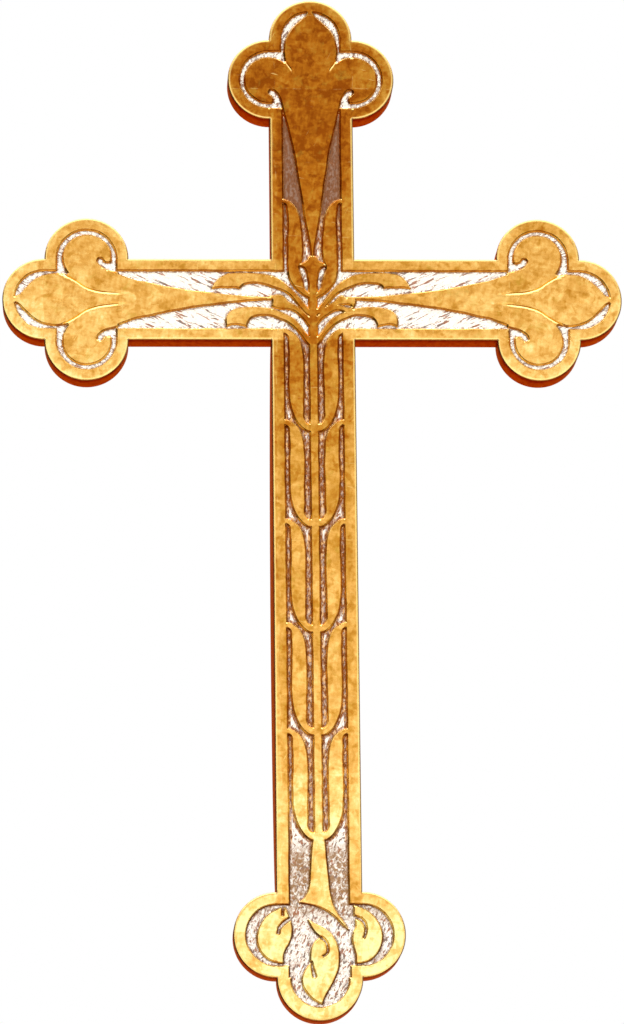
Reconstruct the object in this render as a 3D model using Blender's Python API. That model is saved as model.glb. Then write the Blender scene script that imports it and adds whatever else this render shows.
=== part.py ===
"""A carved, gilded wall cross with trefoil ends, about 1.1 m tall.

Two boards cross in a halved joint. Eight half-round lobes are dowelled to the board edges and
make the trefoils. A D-ring hanger and three rubber pads are on the back.

Dimensions are in millimetres and become metres where a mesh is made. +Z is up, the carved face
looks along -Y, and the wall is the plane Y = 0. The origin is the point of that wall behind the
hook, with the hanger ring raised. The drawing below it has its own centre, where the middle
lines of the boards cross, with Y = 0 on the back of the boards.
"""

import math

import bmesh
import bpy
import numpy as np
from mathutils import Matrix, Vector
from mathutils.geometry import delaunay_2d_cdt

MM = 0.001
GAP = 0.3                     # between pieces that touch

# Boards
BOARD_WIDTH = 89.0
BOARD_THICKNESS = 30.0
R = BOARD_WIDTH / 2           # also the radius of every lobe
ARM_LOBE = 284.6              # from the crossing to the centre of an arm's end lobe
HEAD_LOBE = 288.9
FOOT_LOBE = -721.8
LAP_PLANE = -BOARD_THICKNESS / 2

# Dowels of the lobes
DOWEL_DIAMETER = 8.0
DOWEL_LENGTH = 36.0
DOWEL_OFFSET = 22.0           # from the middle of the lobe, along the joint

# Screws of the halved joint
LAP_SCREW_OFFSET = 26.0
LAP_SCREW_LENGTH = 22.0
LAP_SCREW_SHANK = 4.0
LAP_SCREW_HEAD = 8.0

# Hanger
PIVOT_HEIGHT = 250.0          # above the crossing
PLATE_WIDTH = 16.0
PLATE_THICKNESS = 1.5
PLATE_LENGTH = 60.0           # below the pivot
WIRE = 3.5
RING_HALF_WIDTH = 11.75       # to the middle of the wire
RING_LEG = 10.0
KNUCKLE_BORE = WIRE + 0.7
HANGER_SCREW_DROPS = (32.0, 50.0)
HANGER_SCREW_SHANK = 4.0
HANGER_SCREW_HEAD = 8.0
HANGER_SCREW_HEAD_HEIGHT = 2.2
HANGER_SCREW_LENGTH = 18.0

# Rubber pads between the back and the wall
PAD_DIAMETER = 20.0
PAD_THICKNESS = 8.0
PAD_ARM_POSITION = 262.0
PAD_FOOT_POSITION = -738.0

# Carving
CARVING_DEPTH = 3.0
BORDER = 12.5                 # plain band round the lobes and along the arms
SHAFT_PANEL = 31.0            # half the width of the carved panel on the upright
FOOT_BORDER = 14.0
OUTLINE_STEP = 6.0            # longest straight stretch of a carved curve
POD_LEVELS = ((-31.5, -144), (-131, -247), (-238, -360), (-349, -469), (-461.5, -579))

INNER = R - BORDER
KNUCKLE_OUTER = KNUCKLE_BORE / 2 + PLATE_THICKNESS
PIVOT_DEPTH = GAP + KNUCKLE_OUTER
RING_REACH = RING_LEG + RING_HALF_WIDTH - WIRE / 2
HOOK_HEIGHT = PIVOT_HEIGHT + RING_REACH


# ---------------------------------------------------------------- outlines in the X, Z plane

def arc(centre, radius, start, end, steps):
    """Points on a circle between two angles in degrees, both ends included."""
    turns = [math.radians(start + (end - start) * i / steps) for i in range(steps + 1)]
    return [(centre[0] + radius * math.cos(a), centre[1] + radius * math.sin(a)) for a in turns]


def circle(centre, radius, steps=32):
    return arc(centre, radius, 0, 360, steps)[:-1]


def rectangle(x0, x1, z0, z1):
    return [(x0, z0), (x1, z0), (x1, z1), (x0, z1)]


def smooth(points, step=OUTLINE_STEP):
    """A cubic curve through the points, as a run of chords no longer than about one step."""
    p = np.array(points, float)
    chord = np.linalg.norm(np.diff(p, axis=0), axis=1)
    slope = np.diff(p, axis=0) / chord[:, None]
    tangent = np.empty_like(p)
    weight = chord[:-1] + chord[1:]
    tangent[1:-1] = (slope[:-1] * chord[1:, None] + slope[1:] * chord[:-1, None]) / weight[:, None]
    tangent[0] = 1.5 * slope[0] - 0.5 * tangent[1] if len(p) > 2 else slope[0]
    tangent[-1] = 1.5 * slope[-1] - 0.5 * tangent[-2] if len(p) > 2 else slope[0]
    run = []
    for i, length in enumerate(chord):
        for t in np.arange(0, 1, 1 / max(1, round(length / step))):
            run.append(
                (2 * t**3 - 3 * t**2 + 1) * p[i] + (t**3 - 2 * t**2 + t) * length * tangent[i]
                + (3 * t**2 - 2 * t**3) * p[i + 1] + (t**3 - t**2) * length * tangent[i + 1]
            )
    return [tuple(q) for q in run] + [tuple(p[-1])]


def outline(*runs):
    """A closed outline of smooth runs. Each run starts at a corner and ends at the next one's start."""
    points = []
    for i, run in enumerate(runs):
        points += smooth(list(run) + [runs[(i + 1) % len(runs)][0]])[:-1]
    return points


def ribbon(points, start_width, end_width):
    """A band along a smooth path, with round ends."""
    path = np.array(smooth(points, OUTLINE_STEP / 2))
    along = np.gradient(path, axis=0)
    along /= np.linalg.norm(along, axis=1)[:, None]
    across = np.stack([-along[:, 1], along[:, 0]], axis=1)
    half = np.linspace(start_width, end_width, len(path))[:, None] / 2
    turn = math.degrees(math.atan2(along[-1][1], along[-1][0]))
    back = math.degrees(math.atan2(along[0][1], along[0][0]))
    left = [tuple(q) for q in path + across * half]
    right = [tuple(q) for q in path - across * half]
    cap = arc(path[-1], end_width / 2, turn - 90, turn + 90, 5)[1:-1]
    tail = arc(path[0], start_width / 2, back + 90, back + 270, 5)[1:-1]
    return right + cap + left[::-1] + tail


def mirrored(points):
    return [(-x, z) for x, z in reversed(points)]


def both_sides(points):
    return [points, mirrored(points)]


def stretched(points, factor):
    return [(x * factor, z) for x, z in points]


# ---------------------------------------------------------------- the carved ornament

def end_frame(end):
    """The map from (across, outwards) about an end lobe's centre to (x, z) on the cross."""
    return {
        "head": lambda v, u: (v, HEAD_LOBE + u),
        "left_arm": lambda v, u: (-ARM_LOBE - u, v),
        "right_arm": lambda v, u: (ARM_LOBE + u, v),
        "foot": lambda v, u: (v, FOOT_LOBE - u),
    }[end]


def placed(points, end):
    to_cross = end_frame(end)
    return [to_cross(v, u) for v, u in points]


def panel_shapes():
    """What lies inside the plain border, as overlapping shapes."""
    shapes = [
        rectangle(-SHAFT_PANEL, SHAFT_PANEL, FOOT_LOBE, HEAD_LOBE),
        rectangle(-ARM_LOBE, ARM_LOBE, -INNER, INNER),
    ]
    for end in ("head", "left_arm", "right_arm", "foot"):
        radius = INNER if end != "foot" else R - FOOT_BORDER
        shapes.append(placed(circle((0, 0), radius), end))
        shapes.append(placed(rectangle(-INNER, INNER, -R, 0), end))
        shapes.append(placed(rectangle(-R, R, -R - INNER, INNER - R), end))
        shapes += [placed(circle((side * R, -R), INNER), end) for side in (-1, 1)]
    return shapes


def fleur_shapes():
    """A pointed petal between two volutes: (raised, cut back again), about an end lobe's centre."""
    edge = [(2.2, 34), (4.5, 27.5), (8.5, 23.5), (14.5, 18), (21, 11), (25.5, 3), (27.8, -6),
            (28.2, -15), (27, -22.5)]
    petal = smooth(edge) + [(20, -40)] + mirrored(smooth(edge) + [(20, -40)])
    body = [(26.5, -24), (44, -35), (47, -55), (33.5, -62), (29.5, -78)]
    raised = [petal, body + mirrored(body)]
    raised += [circle((side * 45.5, -45), 25.5, 24) for side in (-1, 1)]
    hook = outline(
        [(29.7, -79), (31, -72), (33, -64.5), (36.5, -59), (40.5, -56), (44, -56), (45.6, -58.6),
         (44.3, -61.8)],
        [(42, -62.8), (40.5, -66), (41, -69.5), (43.5, -72), (44, -78)],
        [(37, -79)],
    )
    return raised, both_sides(hook)


def stem_shapes():
    """The long tapering stems of the head and the arms, and the stem down the upright."""
    head = smooth([(30, 212), (27, 200), (23, 184), (18, 161), (14.7, 139), (11.8, 120), (9.6, 104),
                   (7.6, 89), (5, 74.5), (2.6, 62), (1.2, 48)])
    arm = smooth([(211, 29.5), (200, 25), (190, 21.3), (175, 18), (160, 14.6), (145, 11.8),
                  (130, 9.2), (115, 7.3), (100, 5.5), (85, 3.7), (70, 2.3), (55, 1.5), (36, 1.2)])
    arm_up = [(x, z + 1.6 * (210 - x) / 170) for x, z in arm]
    arm_down = [(x, 1.6 * (210 - x) / 170 - z) for x, z in arm]
    upright = rectangle(-4.4, 4.4, -590, 24)
    return [head + mirrored(head), upright] + both_sides(arm_up + arm_down[::-1])


def crossing_shapes():
    """Leaves, twigs and bud where the boards cross: (raised, cut back again)."""
    tall_leaf = outline(
        [(32, 111), (27, 110), (22.5, 107.3), (18, 102.5), (15, 96), (13, 88), (11.5, 76), (10.6, 62),
         (10.8, 50), (12.3, 42), (14.4, 36), (13.3, 30.5), (11.2, 25), (9.8, 18), (8, 11.5)],
        [(3, 6.5), (3, 2), (8, 3.8), (13.5, 7.5), (17.5, 11.5), (21, 16), (24.2, 22), (26, 29),
         (26.5, 38), (26.5, 60), (26.5, 98), (28, 105)],
        [(32, 107)],
    )
    upper_leaf = outline(
        [(2, -13), (7, -7), (11, -1.5), (15, 3.5), (20, 9.3), (25, 14.3), (31, 19.5), (38, 24),
         (46, 27.3), (56, 28.6), (68, 29.3), (80, 29.3), (89, 28), (96, 24.5), (101, 19.5)],
        [(104.5, 13), (96, 13.8), (88, 13.6), (81, 13.9)],
        [(76.5, 13), (73, 16.5), (66, 18.4), (58, 18.7), (50, 17.4), (42, 14.5), (34, 11.3),
         (28, 8.2), (22, 3), (17, -3.3), (12, -10), (7, -15.5)],
        [(2, -19)],
    )
    lower_leaf = outline(
        [(2, -43), (7, -37.5), (11, -31.8), (15, -26.2), (20, -21), (26, -17.2), (33, -14), (41, -10.7),
         (50, -8.8), (62, -8), (73, -8.6), (82, -11), (88, -15.5), (90.5, -21.5)],
        [(90, -29), (84, -26.8), (77, -27), (72, -28.2)],
        [(69.3, -29.3), (68, -24.5), (64.5, -20), (58, -17.4), (50, -16.8), (43, -17.6), (36, -20.3),
         (29, -23.3), (23, -27), (17, -33), (12, -39.5), (8, -45.5)],
        [(2, -52)],
    )
    left_twig = outline(
        [(-2, -20), (-7, -16.5), (-10, -13.5), (-14, -9.5), (-18, -6.5), (-22, -4.5), (-26, -2),
         (-29, 1.5), (-32, 4.5), (-37, 5.4)],
        [(-46.5, 3.6), (-43, 0)],
        [(-43.8, -6.6), (-38, -9.2), (-32, -10), (-26, -10.3), (-22, -11.5), (-18, -13.6),
         (-14, -17), (-10, -21.5), (-7, -26)],
        [(-2, -32)],
    )
    right_twig = outline(
        [(2, -20), (7, -15.5), (10, -11.5), (13.5, -8), (17, -5.4), (20, -3.8), (23, -1.8),
         (25.5, 0.8), (28, 3.2), (31, 4.8), (34, 3)],
        [(36, 1.6), (40, 2.6), (43.5, 1.8), (45.8, -1), (45.2, -4.5)],
        [(43, -9.5), (41, -12)],
        [(35.5, -14.5), (32.5, -12.6), (29, -11.2), (24, -11.5), (19, -14), (15, -17), (11, -19.5),
         (8, -22.8), (5, -27)],
        [(2, -32)],
    )
    bud_side = smooth([(0, 48.5), (3.5, 47), (6, 43.2)]) + smooth([(8.5, 41.3), (12.5, 39.6), (14.5, 37.6)])
    bud_side += smooth([(9, 35.4), (6.6, 31), (5.6, 25), (4.6, 18), (3, 6)])
    raised = [bud_side + mirrored(bud_side)[:-1], left_twig, right_twig]
    raised += both_sides(tall_leaf)
    for leaf in (upper_leaf, lower_leaf):
        raised += [stretched(leaf, 0.99), stretched(mirrored(leaf), 1.02)]
    slit = outline([(26.5, -5.8), (33, -5.1), (38, -5.2), (41, -7.2), (38, -8.8), (33, -7.6)])
    return raised, [slit]


def pod(top, bottom):
    """One of the long leaves that climb the upright, on its right side."""
    return outline(
        [(32, top), (27, top - 1.2), (22, top - 4), (17.5, top - 8.2), (14, top - 14), (11.8, top - 22),
         (10.8, top - 33), (10.8, bottom + 26), (10.3, bottom + 13), (8, bottom + 9)],
        [(3, bottom + 8)],
        [(3, bottom), (8, bottom + 0.8), (13.5, bottom + 4.6), (18.5, bottom + 11), (22.6, bottom + 20),
         (25.4, bottom + 31), (26.4, bottom + 44), (26.5, top - 18), (27.5, top - 8)],
        [(32, top - 5)],
    )


def foot_shapes():
    """The root of the stem and the three leaves of the foot: (raised, cut back again)."""
    root = outline(
        [(-4.4, -570), (-7, -585), (-8.2, -600), (-9, -613), (-9.9, -625), (-12, -633.5), (-15.5, -639.5)],
        [(-20.5, -643.4), (-12, -645), (-2, -647.6), (7, -651.5), (14, -656.6), (20, -662.5), (25, -668)],
        [(29.8, -672), (25.3, -664.6), (20.3, -657.5), (16, -649.5), (13, -640), (10.8, -628), (9.4, -614),
         (8, -600), (7, -585)],
        [(4.4, -570)],
    )
    left_leaf = outline(
        [(-35.5, -649), (-42, -650.3), (-50, -654.3), (-57, -660.8), (-62, -669), (-64.4, -678),
         (-63.6, -687), (-60, -695), (-54, -701.3), (-46, -705.2)],
        [(-37.5, -706), (-37.8, -700), (-36, -693.5), (-32, -686.5), (-29.3, -680), (-28.2, -672),
         (-29.5, -664), (-32, -656.5)],
    )
    right_leaf = outline(
        [(35.5, -646.8), (43, -649), (51, -653.5), (58, -660.5), (63, -669.5), (64.8, -679),
         (63, -689), (58, -698), (50, -703.8), (43, -706)],
        [(37.2, -706.5), (37.3, -699), (35.2, -690), (34, -682), (34.8, -675), (37, -670.3),
         (37.5, -664), (36, -655.5)],
    )
    low_leaf = outline(
        [(-11.5, -661.5), (-6, -665), (0, -668.2), (6, -671.5), (12, -676.5), (16.5, -683.5),
         (19.3, -692), (20, -702), (18.8, -712), (15.5, -721.5), (10.5, -730.5), (5.5, -739)],
        [(2, -748.5), (-4, -745.6), (-9.5, -741.3), (-14.5, -735), (-18, -727.5), (-18.3, -720.5),
         (-14.5, -713)],
        [(-9.3, -706.5), (-9.8, -699), (-8.5, -691), (-5, -684.5)],
        [(1, -679.3), (-4, -675.3), (-8.5, -669)],
    )
    cuts = [
        ribbon([(-28, -660), (-33.5, -662.5), (-38.5, -666.5), (-41.6, -670.5), (-42.6, -675.5)], 4.5, 3),
        ribbon([(-37, -647), (-38, -652), (-38, -657)], 3, 2.4),
        ribbon([(33, -659), (38.5, -659.6), (44, -662.5), (47.3, -668.5), (47.4, -675), (45.6, -680.5)],
               4.6, 2.6),
        ribbon([(2, -680.5), (6.2, -684.5), (8.2, -690), (7.6, -696), (3.5, -699.2)], 3.2, 2.6),
        ribbon([(-8.8, -705.5), (-7.6, -712), (-5.8, -720)], 2.2, 4.2),
    ]
    return [root, left_leaf, right_leaf, low_leaf], cuts


def carving():
    """(panel, raised, cut) outlines. The ground is the panel less what is raised, plus the cuts."""
    crossing, slit = crossing_shapes()
    foot, foot_cuts = foot_shapes()
    fleur, hooks = fleur_shapes()
    raised = stem_shapes() + crossing + foot
    cuts = slit + foot_cuts
    for end in ("head", "left_arm", "right_arm"):
        raised += [placed(shape, end) for shape in fleur]
        cuts += [placed(shape, end) for shape in hooks]
    for top, bottom in POD_LEVELS:
        raised += both_sides(pod(top, bottom))
    return panel_shapes(), raised, cuts


def inside(points, shape):
    """Which of the points lie inside the closed outline."""
    x, z = points[:, 0], points[:, 1]
    held = np.zeros(len(points), bool)
    for (x0, z0), (x1, z1) in zip(shape, shape[1:] + shape[:1]):
        if z0 == z1:
            continue
        crosses = (z0 > z) != (z1 > z)
        held ^= crosses & (x < x0 + (z - z0) * (x1 - x0) / (z1 - z0))
    return held


def inside_any(points, shapes):
    held = np.zeros(len(points), bool)
    for shape in shapes:
        held |= inside(points, shape)
    return held


# ---------------------------------------------------------------- meshes

def new_object(name, mesh, material, parent):
    thing = bpy.data.objects.new(name, mesh)
    bpy.context.scene.collection.objects.link(thing)
    thing.parent = parent
    if material:
        mesh.materials.append(material)
    return thing


def mesh_from(name, build, smooth_angle=None):
    """A mesh made by build(bm) in millimetres, with its faces turned outwards."""
    bm = bmesh.new()
    build(bm)
    bmesh.ops.recalc_face_normals(bm, faces=bm.faces)
    bmesh.ops.transform(bm, matrix=Matrix.Scale(MM, 4), verts=bm.verts)
    mesh = bpy.data.meshes.new(name)
    bm.to_mesh(mesh)
    bm.free()
    if smooth_angle:
        mesh.shade_smooth()
        mesh.set_sharp_from_angle(angle=math.radians(smooth_angle))
    return mesh


def extrude_outline(bm, points, to_start, extrusion):
    """A closed prism on an outline. to_start places a point of the outline in space."""
    face = bm.faces.new([bm.verts.new(to_start(a, b)) for a, b in points])
    made = bmesh.ops.extrude_face_region(bm, geom=[face])["geom"]
    top = [v for v in made if isinstance(v, bmesh.types.BMVert)]
    bmesh.ops.translate(bm, verts=top, vec=extrusion)


def upright_prism(points, back, front):
    """A builder for a prism on an (x, z) outline, between two Y planes."""
    return lambda bm: extrude_outline(bm, points, lambda x, z: (x, back, z), (0, front - back, 0))


def turned(bm, profile, place, steps=24):
    """A closed turned body. profile is (radius, height) from one end of the axis to the other."""
    rings = []
    for radius, height in profile:
        around = circle((0, 0), radius, steps) if radius else [(0, 0)]
        rings.append([bm.verts.new(place @ Vector((x, y, height))) for x, y in around])
    for low, high in zip(rings, rings[1:]):
        for i in range(steps):
            j = (i + 1) % steps
            corners = [low[i % len(low)], low[j % len(low)], high[j % len(high)], high[i % len(high)]]
            bm.faces.new(list(dict.fromkeys(corners)))


def turned_mesh(name, profile, steps=24, smooth_angle=40):
    return mesh_from(name, lambda bm: turned(bm, profile, Matrix(), steps), smooth_angle)


def cut_with(thing, cutter):
    modifier = thing.modifiers.new("cut_" + cutter.name, "BOOLEAN")
    modifier.operation = "DIFFERENCE"
    modifier.solver = "EXACT"
    modifier.object = cutter


def make_cutter(name, mesh, parent):
    cutter = new_object(name, mesh, None, parent)
    cutter.hide_render = True
    cutter.display_type = "WIRE"
    return cutter


def make_material(name, color, metallic, roughness):
    material = bpy.data.materials.new(name)
    material.use_nodes = True
    shader = material.node_tree.nodes["Principled BSDF"]
    shader.inputs["Base Color"].default_value = (*color, 1)
    shader.inputs["Metallic"].default_value = metallic
    shader.inputs["Roughness"].default_value = roughness
    material.diffuse_color = (*color, 1)
    return material


# ---------------------------------------------------------------- cutters

def build_carved_ground(bm):
    """The space that the carver cut away, as prisms that start in front of the boards."""
    panel, raised, cuts = carving()
    points, edges = [], []
    for shape in panel + raised + cuts:
        first = len(points)
        points += shape
        edges += [(first + i, first + (i + 1) % len(shape)) for i in range(len(shape))]
    flat, _, triangles, *_ = delaunay_2d_cdt([Vector(p) for p in points], edges, [], 0, 1e-4)
    flat = np.array([tuple(p) for p in flat])
    triangles = np.array(triangles)
    centres = flat[triangles].mean(axis=1)
    ground = inside_any(centres, panel) & (~inside_any(centres, raised) | inside_any(centres, cuts))
    front = -BOARD_THICKNESS - 1
    verts = {}
    for triangle in triangles[ground]:
        for i in triangle:
            if i not in verts:
                verts[i] = bm.verts.new((flat[i][0], front, flat[i][1]))
        bm.faces.new([verts[i] for i in triangle])
    made = bmesh.ops.extrude_face_region(bm, geom=bm.faces[:])["geom"]
    floor = [v for v in made if isinstance(v, bmesh.types.BMVert)]
    bmesh.ops.translate(bm, verts=floor, vec=(0, CARVING_DEPTH + 1, 0))


def joint_faces():
    """Each lobe's name, the middle of its joint face, and the way that it points from the board."""
    head, foot = HEAD_LOBE - R, FOOT_LOBE + R
    arm = ARM_LOBE - R
    return [
        ("head_left_lobe", (-R, head), (-1, 0)),
        ("head_right_lobe", (R, head), (1, 0)),
        ("left_arm_upper_lobe", (-arm, R), (0, 1)),
        ("left_arm_lower_lobe", (-arm, -R), (0, -1)),
        ("right_arm_upper_lobe", (arm, R), (0, 1)),
        ("right_arm_lower_lobe", (arm, -R), (0, -1)),
        ("foot_left_lobe", (-R, foot), (-1, 0)),
        ("foot_right_lobe", (R, foot), (1, 0)),
    ]


def dowel_places():
    """Each dowel's name and the frame at its middle, with Z along the dowel."""
    places = []
    for lobe, (x, z), (dx, dz) in joint_faces():
        turn = Vector((0, 0, 1)).rotation_difference(Vector((dx, 0, dz))).to_matrix().to_4x4()
        for number, offset in enumerate((-DOWEL_OFFSET, DOWEL_OFFSET), start=1):
            middle = Vector((x + dz * offset, LAP_PLANE, z + dx * offset))
            places.append((f"{lobe}_dowel_{number}", Matrix.Translation(middle) @ turn))
    return places


def dowel_profile(radius, length, chamfer):
    half = length / 2
    return [(0, -half), (radius - chamfer, -half), (radius, chamfer - half),
            (radius, half - chamfer), (radius - chamfer, half), (0, half)]


def build_dowel_holes(bm):
    half = DOWEL_LENGTH / 2 + GAP
    radius = DOWEL_DIAMETER / 2 + GAP
    for _, place in dowel_places():
        turned(bm, [(0, -half), (radius, -half), (radius, half), (0, half)], place, steps=12)


def facing_back(x, y, z):
    """A frame at a point of the back, with Z pointing out of it towards the wall."""
    return Matrix.Translation((x, y, z)) @ Matrix.Rotation(math.radians(-90), 4, "X")


def lap_screw_corners():
    offsets = (-LAP_SCREW_OFFSET, LAP_SCREW_OFFSET)
    return [(x, z) for z in offsets for x in offsets]


def lap_screw_profile():
    """A countersunk screw whose head ends just under the back."""
    shank = LAP_SCREW_SHANK / 2
    head = LAP_SCREW_HEAD / 2
    tip = -GAP - LAP_SCREW_LENGTH
    return [(0, tip), (shank, tip + 3), (shank, shank - head - GAP), (head, -GAP), (0, -GAP)]


def build_lap_screw_holes(bm):
    shank = LAP_SCREW_SHANK / 2 + GAP
    head = LAP_SCREW_HEAD / 2 + GAP
    end = -2 * GAP - LAP_SCREW_LENGTH
    profile = [(0, end), (shank, end), (shank, shank - head - GAP), (head, -GAP), (head, 2), (0, 2)]
    for x, z in lap_screw_corners():
        turned(bm, profile, facing_back(x, 0, z), steps=16)


def build_hanger_screw_holes(bm):
    radius = HANGER_SCREW_SHANK / 2 + GAP
    for drop in HANGER_SCREW_DROPS:
        end = -HANGER_SCREW_LENGTH - GAP
        profile = [(0, end), (radius, end), (radius, 3), (0, 3)]
        turned(bm, profile, facing_back(0, 0, PIVOT_HEIGHT - drop), steps=16)


def drive_recess(bm, place, arm=2.2, half=0.5, depth=1.2):
    """A cross-shaped cutter that sinks into a screw head at a frame's origin."""
    corner = [(half, half), (half, arm), (-half, arm)]
    points = []
    for quarter in range(4):
        turn = Matrix.Rotation(math.radians(90 * quarter), 2)
        points += [tuple(turn @ Vector(p)) for p in corner]
    outwards = place.to_3x3() @ Vector((0, 0, 4))
    extrude_outline(bm, points, lambda a, b: place @ Vector((a, b, -depth)), outwards)


def build_drive_recesses(bm):
    for x, z in lap_screw_corners():
        drive_recess(bm, facing_back(x, -GAP, z))
    head_top = 2 * GAP + PLATE_THICKNESS + HANGER_SCREW_HEAD_HEIGHT
    for drop in HANGER_SCREW_DROPS:
        drive_recess(bm, facing_back(0, head_top, PIVOT_HEIGHT - drop))


# ---------------------------------------------------------------- sub-parts

def upright_board(parent, material):
    points = arc((0, HEAD_LOBE), R, 0, 180, 24) + arc((0, FOOT_LOBE), R, 180, 360, 24)
    mesh = mesh_from("upright_board", upright_prism(points, 0, -BOARD_THICKNESS))
    return new_object("upright_board", mesh, material, parent)


def crossbar_board(parent, material):
    points = arc((ARM_LOBE, 0), R, -90, 90, 24) + arc((-ARM_LOBE, 0), R, 90, 270, 24)
    mesh = mesh_from("crossbar_board", upright_prism(points, 0, -BOARD_THICKNESS))
    return new_object("crossbar_board", mesh, material, parent)


def halving_cutters(parent):
    """What each board loses at the crossing: the upright its back half, the crossbar its front."""
    wide = R + GAP
    beyond = R + 20
    from_back = upright_prism(rectangle(-beyond, beyond, -wide, wide), LAP_PLANE - GAP / 2, 5)
    from_front = upright_prism(
        rectangle(-wide, wide, -beyond, beyond), LAP_PLANE + GAP / 2, -BOARD_THICKNESS - 5
    )
    return (
        make_cutter("upright_halving", mesh_from("upright_halving", from_back), parent),
        make_cutter("crossbar_halving", mesh_from("crossbar_halving", from_front), parent),
    )


def side_lobe(name, middle, outward, parent, material):
    """A half-round piece whose flat side is glued to a board edge."""
    facing = math.degrees(math.atan2(outward[1], outward[0]))
    open_angle = math.degrees(math.asin(GAP / R))
    points = arc(middle, R, facing - 90 + open_angle, facing + 90 - open_angle, 24)
    mesh = mesh_from(name, upright_prism(points, 0, -BOARD_THICKNESS))
    return new_object(name, mesh, material, parent)


def dowels(parent, material):
    mesh = turned_mesh("dowel", dowel_profile(DOWEL_DIAMETER / 2, DOWEL_LENGTH, 1.0), steps=12)
    mesh.materials.append(material)
    for name, place in dowel_places():
        dowel = new_object(name, mesh, None, parent)
        dowel.matrix_basis = Matrix.Translation(place.translation * MM) @ place.to_3x3().to_4x4()


def lap_screws(parent, material, recesses):
    mesh = turned_mesh("lap_screw", lap_screw_profile(), steps=16)
    mesh.materials.append(material)
    for number, (x, z) in enumerate(lap_screw_corners(), start=1):
        screw = new_object(f"lap_screw_{number}", mesh, None, parent)
        screw.matrix_basis = facing_back(x * MM, 0, z * MM)
        cut_with(screw, recesses)


def hanger_screws(parent, material, recesses):
    shank = HANGER_SCREW_SHANK / 2
    head = HANGER_SCREW_HEAD / 2
    seat = 2 * GAP + PLATE_THICKNESS
    top = seat + HANGER_SCREW_HEAD_HEIGHT
    profile = [(0, -HANGER_SCREW_LENGTH), (shank, 3 - HANGER_SCREW_LENGTH), (shank, seat), (head, seat),
               (head, top - 1.2), (head - 0.6, top - 0.4), (head - 1.6, top), (0, top)]
    mesh = turned_mesh("hanger_screw", profile, steps=16)
    mesh.materials.append(material)
    for name, drop in zip(("hanger_screw_upper", "hanger_screw_lower"), HANGER_SCREW_DROPS):
        screw = new_object(name, mesh, None, parent)
        screw.matrix_basis = facing_back(0, 0, (PIVOT_HEIGHT - drop) * MM)
        cut_with(screw, recesses)


def hanger_plate(parent, material, holes):
    """A strap whose top end is rolled round the ring's straight side. Its profile is (y, z)."""
    bore = KNUCKLE_BORE / 2
    axis = (PIVOT_DEPTH, 0)
    roll = arc(axis, KNUCKLE_OUTER, 180, -60, 20) + arc(axis, bore, -60, 180, 16)
    profile = [(GAP + PLATE_THICKNESS, -PLATE_LENGTH), (GAP, -PLATE_LENGTH)] + roll
    half = PLATE_WIDTH / 2
    mesh = mesh_from(
        "hanger_plate",
        lambda bm: extrude_outline(bm, profile, lambda y, z: (-half, y, z), (2 * half, 0, 0)),
        smooth_angle=40,
    )
    plate = new_object("hanger_plate", mesh, material, parent)
    plate.location = (0, 0, PIVOT_HEIGHT * MM)
    cut_with(plate, holes)
    return plate


def hanger_ring(parent, material):
    """A D-shaped wire ring. Its origin is on the axis of the knuckle, and at rest it hangs down."""
    corner = 3.0
    left, right = -RING_HALF_WIDTH, RING_HALF_WIDTH
    path = arc((right - corner, -corner), corner, 90, 0, 6)
    path += arc((0, -RING_LEG), RING_HALF_WIDTH, 0, -180, 20)
    path += arc((left + corner, -corner), corner, 180, 90, 6)
    curve = bpy.data.curves.new("hanger_ring", "CURVE")
    curve.dimensions = "3D"
    curve.bevel_depth = WIRE / 2 * MM
    curve.bevel_resolution = 2
    spline = curve.splines.new("POLY")
    spline.points.add(len(path) - 1)
    for point, (x, z) in zip(spline.points, path):
        point.co = (x * MM, 0, z * MM, 1)
    spline.use_cyclic_u = True
    ring = bpy.data.objects.new("hanger_ring", curve)
    bpy.context.scene.collection.objects.link(ring)
    curve.materials.append(material)
    ring.parent = parent
    ring.location = (0, PIVOT_DEPTH * MM, PIVOT_HEIGHT * MM)
    return ring


def wall_pads(parent, material):
    radius = PAD_DIAMETER / 2
    top = GAP + PAD_THICKNESS
    profile = [(0, GAP), (radius, GAP), (radius, top - 1), (radius - 1, top), (0, top)]
    mesh = turned_mesh("wall_pad", profile)
    mesh.materials.append(material)
    places = {
        "left_wall_pad": (-PAD_ARM_POSITION, 0),
        "right_wall_pad": (PAD_ARM_POSITION, 0),
        "foot_wall_pad": (0, PAD_FOOT_POSITION),
    }
    for name, (x, z) in places.items():
        pad = new_object(name, mesh, None, parent)
        pad.matrix_basis = facing_back(x * MM, 0, z * MM)


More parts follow.
